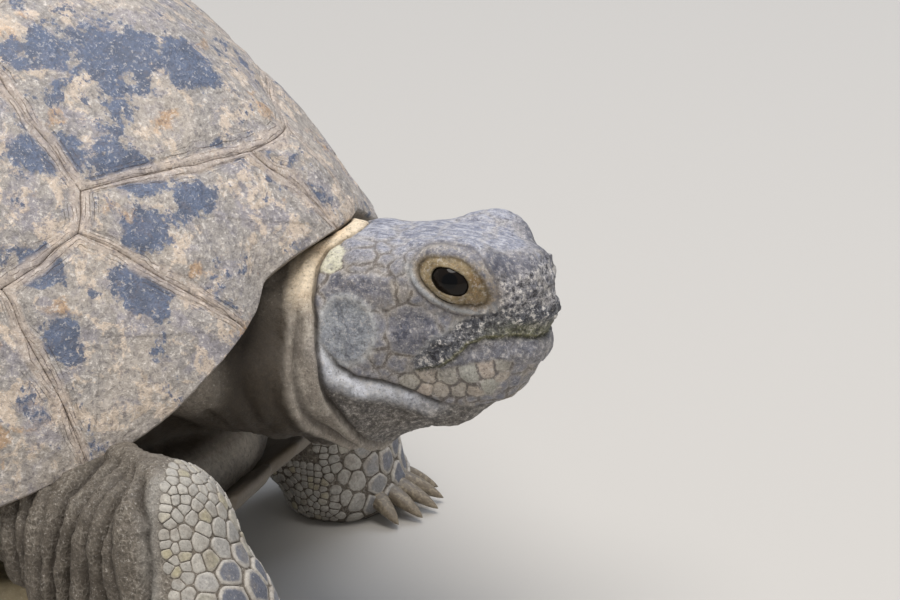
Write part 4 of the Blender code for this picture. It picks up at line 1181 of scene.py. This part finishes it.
def tortoise_hide(masks):
    f = Finish('tortoise_hide', IOR=1.45)
    get = {name: f.attribute(name) for name in masks}
    broad, patch = f.noise(9, 3), f.noise(3.2, 5, .7, .4)
    fine, speck = f.noise(.9, 4, .75), f.noise(.4, 3, .8)
    # Loose skin: dusty grey-brown, mottled like lace on the limbs.
    color = f.blend(broad.step(.38, .62), '7b7369', '8f877c')
    lace = f.cell_edges(.85, f.stretch(1, 1, .7)).step(.2, .02) * patch.step(.42, .58)
    # Painted shade on the neck where it runs in under the shell's rim.
    color = f.blend(get['deep'] * .95, color, '31291f')
    # Painted light on the chest skin in the shaded hollow under the neck.
    color = f.blend(get['chest'] * .85, color, 'b9b0a3')
    pits = f.noise(.8, 3, .65, place=f.stretch(1, 1, 1.5))
    color = f.layers(
        color,
        (get['limb'] * (pits + patch * .35).step(.60, .76) * .6, '4a433b'),
        (get['limb'] * (1 - get['ridge']) * .6, '474037'),
        (get['limb'] * lace * .3, 'a59e92'),
        (get['ridge'] * .6, '979590'))
    # Head: violet-grey and tan in patches, streaked blue-grey on the crown, brown under the throat.
    head = f.blend(patch.step(.40, .60), '787983', '8a888b')
    head = f.blend(f.noise(5, 4, .65).step(.50, .62) * .5, head, '9e9484')
    head = f.blend(get['dark'] * (patch + fine * .5).step(.58, .86, 1, .45), head, '4b4d5a')
    grit = f.noise(1.0, 4, .8)
    streak = f.noise(.55, 4, .7, place=f.stretch(.2, 1, 1.6))
    crown = f.blend(streak.step(.38, .62), '6f7486', 'a9abb5')
    head = f.layers(
        head,
        (get['crown'] * .85, crown),
        (get['seam'].step(.1, .75) * .3, 'a8a092'),
        ((get['seam'] + (fine - .5) * .3).step(.62, .92) * .7, '4f463e'))
    throat = f.blend(grit.step(.42, .60), '4b4742', '78736d')
    head = f.blend(get['throat'] * get['low'].step(.35, .9) * .9, head, throat)
    # Parts of the head that differ, and the collar, laid over both; then grit and dust over all.
    # Pale skin of the jowl roll, made paler still as painted light where it catches the light from above.
    jowl = f.blend(patch.step(.4, .6), 'c9ccd5', 'aeb0b5')
    orbit = f.blend((patch * .5 + fine * .5).step(.42, .58), '75757f', '918b83')
    jaw = f.blend(get['tone'], 'a09f95', 'b0a294')
    drum = f.blend((patch + fine * .5).step(.62, .88), '737881', '92979d')
    snout = f.blend(patch.step(.42, .58), '71727b', '8d8b8c')
    beak = f.blend(patch.step(.40, .60), '3a3e47', '66686e')
    collar = f.blend(patch.step(.4, .6), '857d74', '9c958b')
    collar = f.blend(get['cream'], collar, 'd6c6ad')
    collar = f.blend(broad.step(.45, .62) * get['cream'] * .5, collar, 'bf9a6c')
    gold = f.blend((patch * .6 + fine * .4).step(.42, .60), '8f8061', '735f3c')
    horny, grain = get['snout'].most(get['beak']), grit * .6 + fine * .4
    # Specks are left out under the neck's painted shade.
    quiet = 1 - get['deep'] * .95
    color = f.layers(
        color,
        (get['head'], head),
        (get['jowl'] * (1 - get['low'].step(.75, 1)) * .88, jowl),
        (get['orbit'] * .85, orbit),
        (get['jaw'] * (1 - get['seam'].step(.7, .95)) * .8, jaw),
        (get['green'] * streak.step(.2, .5) * .9, 'cbc8b2'),
        (get['drum'] * .8, drum),
        (get['snout'] * .8, snout),
        ((get['beak'] + (fine - .5) * .5).step(.2, .75) * .85, beak),
        (horny * grain.step(.525, .58) * .9, 'cbc7c3'),
        (horny * grain.step(.485, .435) * .9, '29292f'),
        (get['moss'] * (grit + fine * .4).step(.55, .80, .35, 1) * .8, '74733a'),
        (get['pale'] * .7, 'b2b5b7'),
        (get['collar'] * .9, collar),
        (get['gold'] * .95, gold),
        (get['canthus'] * fine.step(.42, .58) * .4, '7a6140'),
        (get['mouth'] * .8, '4b4a2a'),
        (speck.step(.54, .72) * quiet * .55, 'cdc8c1'),
        (speck.step(.46, .30) * quiet * .65, '44413d'),
        (get['head'] * grit.step(.46, .34) * .45, '47454b'),
        (get['head'] * grit.step(.55, .64) * .42, 'c2bdb9'))
    color = f.shade(color, fine * 1.45 + .30)
    # Painted shade in the creases round the eye.
    color = f.blend(get['rim_line'] * .8, color, '2f261d')
    # Painted shade darkens the creases.
    color = f.blend(get['crease'] * .85, color, '2c251e')
    roughness = fine * .3 + .5
    wrinkle = fine * .8 + speck * .4 + patch * .3 + lace * get['limb'] * .3
    return f.wear(color, roughness, wrinkle, .35, .8)


# The skin's unwrap: a disc for head and neck, a strip round each leg and the tail, and two flat maps
# for the trunk; each one's left, foot, width and height on the sheet.
SHEET = {'head': (.01, .35, .64, .64), 'foreleg_right': (.68, .68, .30, .30),
         'foreleg_left': (.68, .36, .30, .29), 'hindleg_right': (.02, .19, .29, .13),
         'hindleg_left': (.35, .19, .29, .13), 'tail': (.69, .19, .29, .13),
         'trunk_top': (.02, .02, .45, .14), 'trunk_under': (.53, .02, .45, .14)}


def unwrap(part, p, home):
    """Places of points on the part's own map, 0..1; home, their face's middle, keeps faces whole."""
    if part.startswith('trunk'):
        return np.stack([(p[:, 0] + 90) / 190, (p[:, 1] + 50) / 100], 1)
    if part == 'head':
        ray = p - (112, 0, 44)
        far = np.degrees(np.arccos(ray[:, 0] / np.linalg.norm(ray, axis=1)))
        far = far + 2.2 * np.clip(100 - p[:, 0], 0, None)
        turn = np.arctan2(ray[:, 1], ray[:, 2])
        return .5 + np.stack([np.sin(turn), np.cos(turn)], 1) * far[:, None] / 500
    if part == 'tail':
        middle = np.stack([np.interp(-p[:, 0], (76, 91, 99, 103), (0, 0, 2, 3.5)),
                           np.interp(-p[:, 0], (76, 91, 99, 103), (22, 14.5, 8, 2))], 1)
        turn, own = (np.arctan2(q[:, 1] - middle[:, 0], q[:, 2] - middle[:, 1]) for q in (p, home))
        along = (p[:, 0] + 106) / 34
    else:
        leg = LEGS[part]
        run = leg[1] + leg[3][1:] if part[0] == 'f' else leg[0][1:] + leg[2][1:]
        axis = np.array([centre for centre, radii in run])
        x, y = (np.interp(-p[:, 2], -axis[:, 2], axis[:, k]) for k in (0, 1))
        turn, own = (np.arctan2(q[:, 1] - y, q[:, 0] - x) for q in (p, home))
        inward = np.clip(10 - np.hypot(p[:, 0] - x, p[:, 1] - y), 0, 10)
        sole = np.where(p[:, 2] < .6 - BELLY_CLEARANCE, inward, 0)
        along = (p[:, 2] - sole + 28) / 76
    turn = own + np.remainder(turn - own + np.pi, 2 * np.pi) - np.pi
    return np.stack([turn / 2 / np.pi + .5, along], 1)


def corner_numbers(piece):
    """The number of the point at each face corner."""
    number = np.empty(len(piece.data.loops), int)
    piece.data.loops.foreach_get("vertex_index", number)
    return number


def bake_map(piece, corners):
    layer = piece.data.uv_layers.new(name="OFBake")
    layer.data.foreach_set("uv", corners.astype(np.float32).ravel())


corner = points[corner_numbers(skin)]
home = np.repeat(corner.reshape(-1, 3, 3).mean(1), 3, axis=0)
x, y, z = home.T
part = np.where(z > 25, 'trunk_top', 'trunk_under').astype('<U14')
part[(x > 64) & (abs(y) < 30)] = 'head'
for name in LEGS:
    front, right = name[0] == 'f', name.endswith('right')
    part[(np.where(right, -y, y) > 30) & (x > 30 if front else x < -30) & (z < 42)] = name
part[(x < -82) & (abs(y) < 16)] = 'tail'
place = np.zeros((len(corner), 2))
for name, (left, low, wide, high) in SHEET.items():
    here = part == name
    place[here] = (left, low) + np.clip(unwrap(name, corner[here], home[here]), -.02, 1.02) * (wide, high)
bake_map(skin, place)
skin.data.materials.append(tortoise_hide(skin_mask))
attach(skin, "root")
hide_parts('head', 'neck', 'trunk', 'tail', *LEGS)


# ------------------------------------------------------------------ eyes
# Glossy black balls with a dark brown iris that hardly shows, wet under the lids.
def eyeball(name, side):
    bm = bmesh.new()
    bmesh.ops.create_uvsphere(bm, u_segments=64, v_segments=48, radius=1.0)
    mesh = bpy.data.meshes.new(name)
    bm.to_mesh(mesh)
    bm.free()
    p = np.array([v.co for v in mesh.vertices])
    gaze, slit, up = (w * (1, -side, 1) for w in (GAZE, SLIT, LID_UP))
    local = p[:, 2:] * gaze + p[:, :1] * slit + p[:, 1:2] * up
    bulge = 1 + .03 * fade(.72, 1, p[:, 2:])
    points = EYE * (1, -side, 1) + local * EYE_RADIUS * bulge
    return mesh_piece(name, points, [tuple(q.vertices) for q in mesh.polygons], {'axis': p[:, 2]})


def eye_gloss():
    f = Finish('eye_gloss', Roughness=.07, IOR=1.4, Specular_IOR_Level=.3)
    axis = f.attribute('axis')
    color = f.blend(axis.step(.965, .945), '050506', '15100c')
    color = f.blend(axis.step(.80, .70), color, '0a0908')
    f.tree.links.new(color.socket, f.shader.inputs['Base Color'])
    return f.material


gloss = eye_gloss()
for name, side in (('eye_right', -1), ('eye_left', 1)):
    eye = eyeball(name + '_ball', side)
    eye.data.materials.append(gloss)
    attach(eye, "root")
    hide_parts(name)


# ------------------------------------------------------------------ claws and spurs
# Blunt mottled claws, five on a forefoot and four on a hind foot, dark at the root and paler at the
# tip, and the conical spur behind each thigh that names the species. The spur's root stands clear
# of the skin, by about 4 mm on the right and 9 mm on the left.
# Middle of the sole, number of claws, and how far out they stand.
FEET = {'foreleg_right': (105, -57.5, 5, 8.0), 'foreleg_left': (71, 56.5, 5, 8.0),
        'hindleg_right': (-70.5, -56.5, 4, 9.5), 'hindleg_left': (-58.5, 56.5, 4, 9.5)}
CONE_RINGS, CONE_SIDES = 18, 16


def claw_line(foot, k):
    """Root and tip of claw k of a foot."""
    x, y, count, reach = FEET[foot]
    turn = np.radians(38 * (2 * k / (count - 1) - 1))
    root = np.array((x + np.cos(turn) * (reach - 3), y + np.sin(turn) * (reach - 2.5), -12.2))
    tip = np.array((x + np.cos(turn) * (reach + 8.5), y + np.sin(turn) * (reach + 6), -16.0))
    return root, tip


def horn_cone(root, tip, radius, arch, rings, sides):
    """Points and faces of a bowed, blunt cone."""
    axis = unit(tip - root)
    across = unit(np.cross(axis, (0, 0, 1.0)))
    up = np.cross(across, axis)
    points, faces = [], []
    for i in range(rings):
        t = i / (rings - 1)
        middle = root * (1 - t) + tip * t + up * arch * np.sin(np.pi * t)
        r = radius * max(1 - t ** 1.6, .004) ** .62
        a = np.arange(sides) / sides * 2 * np.pi
        points.append(middle + across * (r * np.cos(a))[:, None] + up * (r * .82 * np.sin(a))[:, None])
        if i:
            faces += band(i * sides, sides, (i - 1) * sides, sides)
    faces += [tuple(range(sides)), tuple(range((rings - 1) * sides, rings * sides))[::-1]]
    return np.vstack(points), faces


def claw_horn():
    f = Finish('claw_horn', IOR=1.5)
    along = f.attribute('along')
    streak = f.noise(.8, 3, .6)
    color = f.blend(along, '4b443c', '7d7262')
    color = f.blend(streak.step(.45, .65) * .6, color, '9a8f7c')
    color = f.shade(color, f.noise(.4, 2) * .5 + .75)
    return f.wear(color, streak * .3 + .35, streak, .15, .6)


claw_finish = claw_horn()
for foot, (_, middle_y, count, _) in FEET.items():
    points, faces, along, start = [], [], [], 0
    cones = [(*claw_line(foot, k), 2.2, .7) for k in range(count)]
    if 'hind' in foot:
        side = np.sign(middle_y)
        cones.append((np.array((-76.0, side * 37, 6)), np.array((-83.5, side * 36, 3)), 2.6, .4))
    for root, tip, radius, arch in cones:
        p, q = horn_cone(root, tip, radius, arch, CONE_RINGS, CONE_SIDES)
        p[:, 2] = np.maximum(p[:, 2], -BELLY_CLEARANCE)
        points.append(p)
        faces += [tuple(i + start for i in face) for face in q]
        along.append(np.repeat(np.linspace(0, 1, CONE_RINGS), CONE_SIDES))
        start += len(p)
    claws = mesh_piece('claws_' + foot, np.vstack(points), faces, {'along': np.concatenate(along)})
    claws.data.materials.append(claw_finish)
    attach(claws, "root")


# ------------------------------------------------------------------ scales of limbs and tail
# Horny scales stand on the front and outer side of each limb: small and yellowish towards the
# creased skin, large, slate-hearted and pale-rimmed on the forearm. Each is a low cap set in the skin.
CAP_ON_SHEET = .0015                      # a cap's radius on its limb's own map


def scale_size(limb, p, n):
    """Radius in mm of the scales wanted at a place on a limb, 0 for none."""
    x, y, z = p.T
    if limb == 'tail':
        return np.where((x < -84) & (z > -15.5), .9, 0)
    if limb.startswith('hind'):
        want = .9 + .6 * fade(-60, -74, x) + .5 * fade(4, -12, z)
        outside = (abs(y) > 50) | (n[:, 0] < -.2) | (z < 0)
        return np.where(outside & (z > -15.5) & (z < 22) & (n[:, 2] > -.6), want, 0)
    front = past_scale_line(p)
    want = .66 + 1.35 * fade(2.5, 12, front) * fade(31, 17, z) + .35 * fade(2, 8, front)
    want *= np.where(np.sign(y) * n[:, 1] < -.35, .8, 1)
    keep = (front > 2.2) | ((z < -6) & (front > -14))
    return np.where(keep & (z > -15.8) & (n[:, 2] > -.75) & (z < 34.5), want, 0)


def scale_coat(limb, low, high, directions):
    """All scales of a limb: seeds thrown on its skin, each grown to its neighbours as a low cap."""
    rng = np.random.default_rng(11)
    inside = ((points_base > low) & (points_base < high)).all(1)
    p, n = points_base[inside], normals_base[inside]
    want = scale_size(limb, p, n)
    p, n, want = p[want > 0], n[want > 0], want[want > 0]
    tries = rng.permutation(len(p))[:9000]
    p, n, want = p[tries], n[tries], want[tries]
    chosen = []
    spots, radii = np.zeros((0, 3)), np.zeros(0)
    for i in range(len(p)):
        if (np.linalg.norm(spots - p[i], axis=1) > (radii + want[i]) * .86).all():
            chosen.append(i)
            spots, radii = np.vstack([spots, p[i]]), np.append(radii, want[i])
    normal = n[chosen]
    across = unit(np.cross(normal, (.3, .1, -1.0)))
    down = np.cross(normal, across)
    angle = np.arange(directions) / directions * 2 * np.pi
    reach = np.empty((len(spots), directions))
    for i in range(len(spots)):
        gap = spots - spots[i]
        d = np.linalg.norm(gap, axis=1)
        near = np.flatnonzero((d > 0) & (d < 2.4 * (radii + radii[i])))
        gx, gy = gap[near] @ across[i], gap[near] @ down[i]
        level = np.maximum(np.hypot(gx, gy), 1e-6)
        border = (d[near] ** 2 + radii[i] ** 2 - radii[near] ** 2) / (2 * d[near])
        half = np.maximum(border - .035, .25 * radii[i])
        facing = np.cos(angle[:, None] - np.arctan2(gy, gx)[None])
        pull = (np.clip(facing, 0, 1) / half) ** 22
        reach[i] = (pull.sum(1) + (1 / (1.6 * radii[i])) ** 22) ** (-1 / 22)
    # Rings of a cap: share of its reach, and share of its height.
    rings = [(1.0, -.5), (.985, -.05), (.93, .62), (.80, .92), (.55, .86), (.28, 1.0)]
    tilt = .16
    verts, faces, rims, lifts = [], [], [], []
    tone = rng.random(len(spots))
    for share, rise in rings:
        flat = reach * share
        fx, fy = flat * np.cos(angle), flat * np.sin(angle)
        verts.append(spots[:, None] + across[:, None] * fx[..., None] + down[:, None] * fy[..., None])
        lifts.append(rise * (.16 + .10 * radii)[:, None] + tilt * fy * (.5 if rise > 0 else 0))
        rims.append(np.full_like(fx, share))
    grid = np.stack(verts, 1)
    lift = np.stack(lifts, 1)
    rim = np.stack(rims, 1)
    count = len(rings) * directions
    centre = spots[:, None]
    grid = np.concatenate([grid.reshape(len(spots), -1, 3), centre], 1)
    lift = np.concatenate([lift.reshape(len(spots), -1), (.16 + .10 * radii)[:, None]], 1)
    rim = np.concatenate([rim.reshape(len(spots), -1), np.zeros((len(spots), 1))], 1)
    points = to_body(grid.reshape(-1, 3), 1)
    points = points + unit(body_slope(points)) * lift.reshape(-1, 1)
    points[:, 2] = np.maximum(points[:, 2], -BELLY_CLEARANCE + .05)
    one = []
    for r in range(len(rings) - 1):
        one += band(r * directions, directions, (r + 1) * directions, directions)
    top = (len(rings) - 1) * directions
    one += [(top + k, top + (k + 1) % directions, count) for k in range(directions)]
    one += [tuple(range(directions))[::-1]]
    for i in range(len(spots)):
        faces += [tuple(v + i * (count + 1) for v in face) for face in one]
    big = fade(1.15, 2.0, radii)
    tone, big = (np.repeat(value, count + 1) for value in (tone, big))
    attributes = {'rim': rim.ravel(), 'tone': tone, 'big': big}
    piece = mesh_piece('scales_' + limb, points, faces, attributes)
    root = np.repeat(unwrap(limb, spots, spots), count + 1, axis=0)
    around = np.append(np.tile(angle, len(rings)), 0)
    spoke = np.tile(np.stack([np.cos(around), np.sin(around)], 1), (len(spots), 1))
    place = root + spoke * rim.reshape(-1, 1) * CAP_ON_SHEET
    bake_map(piece, place[corner_numbers(piece)])
    return piece


def scale_horn():
    f = Finish('scale_horn', IOR=1.45)
    rim, tone, big = f.attribute('rim'), f.attribute('tone'), f.attribute('big')
    patch, fine, speck = f.noise(2.4, 3), f.noise(.7, 3, .6), f.noise(.3, 2, .7)
    small = f.blend(tone, '97948e', 'aaa69e')
    small = f.blend(tone.step(.80, .97) * .6, small, '9b9168')
    heart = f.blend(tone, '555965', '71737b')
    color = f.blend(big, small, heart)
    color = f.layers(
        color,
        ((rim + (patch - .5) * .3).step(.62, .84) * (big * .6 + .35), 'a8a39b'),
        (patch.step(.5, .66) * .45, '7d756c'),
        (rim.step(.93, 1.0) * .85, '4d443a'),
        (speck.step(.55, .75) * .4, 'c6bfb4'),
        (speck.step(.45, .28) * .4, '494440'))
    color = f.shade(color, fine * 1.1 + .46)
    return f.wear(color, fine * .3 + .45, fine * .6 + speck * .4, .25, .7)


scale_finish = scale_horn()
for limb, low, high, directions in (('foreleg_right', (60, -75, -17), (125, -30, 40), 20),
                                    ('foreleg_left', (40, 30, -17), (95, 75, 40), 12),
                                    ('hindleg_right', (-95, -75, -17), (-45, -36, 30), 12),
                                    ('hindleg_left', (-95, 36, -17), (-40, 75, 30), 12),
                                    ('tail', (-110, -12, -17), (-84, 14, 30), 12)):
    coat = scale_coat(limb, low, high, directions)
    coat.data.materials.append(scale_finish)
    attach(coat, "root")


# ------------------------------------------------------------------ studio
# A pale floor, a broad soft sky, a large overhead key, a lamp behind and a weak low fill in front,
# as on an overcast day.
def studio():
    floor = bpy.data.meshes.new("floor")
    floor.from_pydata([(-3, -3, 0), (3, -3, 0), (3, 3, 0), (-3, 3, 0)], [], [(0, 1, 2, 3)])
    obj = bpy.data.objects.new("floor", floor)
    bpy.context.scene.collection.objects.link(obj)
    f = Finish('floor', Roughness=.9)
    f.shader.inputs['Base Color'].default_value = ink('bfbcb7')
    floor.materials.append(f.material)
    world = bpy.data.worlds.new("sky")
    world.use_nodes = True
    world.node_tree.nodes["Background"].inputs["Color"].default_value = ink('dfe4ec')
    world.node_tree.nodes["Background"].inputs["Strength"].default_value = .40
    bpy.context.scene.world = world
    for name, at, size, power, color in (("key", (.12, -.32, 1.1), .9, 14.2, 'fffaf4'),
                                         ("back", (.1, .7, .9), .7, 4, 'e8f0ff'),
                                         ("fill", (.55, -1.3, .38), .7, 3.2, 'fff6ea')):
        light = bpy.data.lights.new(name, 'AREA')
        light.shape, light.size, light.energy, light.color = 'DISK', size, power, ink(color)[:3]
        lamp = bpy.data.objects.new(name, light)
        lamp.location = at
        lamp.visible_glossy = name != "fill"
        aim = Vector((.08, 0, .05)) - lamp.location
        lamp.rotation_euler = aim.to_track_quat('-Z', 'Y').to_euler()
        bpy.context.scene.collection.objects.link(lamp)


studio()
target = Vector(in_metres((100, 31.7, 31.1)))
turn, lift, roll = np.radians((22.1, 20.8, -.5))
back = Vector((np.sin(turn) * np.cos(lift), -np.cos(turn) * np.cos(lift), np.sin(lift)))
camera = bpy.data.objects.new("camera", bpy.data.cameras.new("camera"))
bpy.context.scene.collection.objects.link(camera)
camera.data.lens, camera.data.sensor_width = 254, 36
camera.data.clip_start, camera.data.clip_end = .05, 20
camera.location = target + back
camera.rotation_euler = back.to_track_quat('Z', 'Y').to_euler()
camera.rotation_euler.rotate_axis('Z', roll)
bpy.context.scene.camera = camera
bpy.context.scene.view_settings.view_transform = 'Standard'
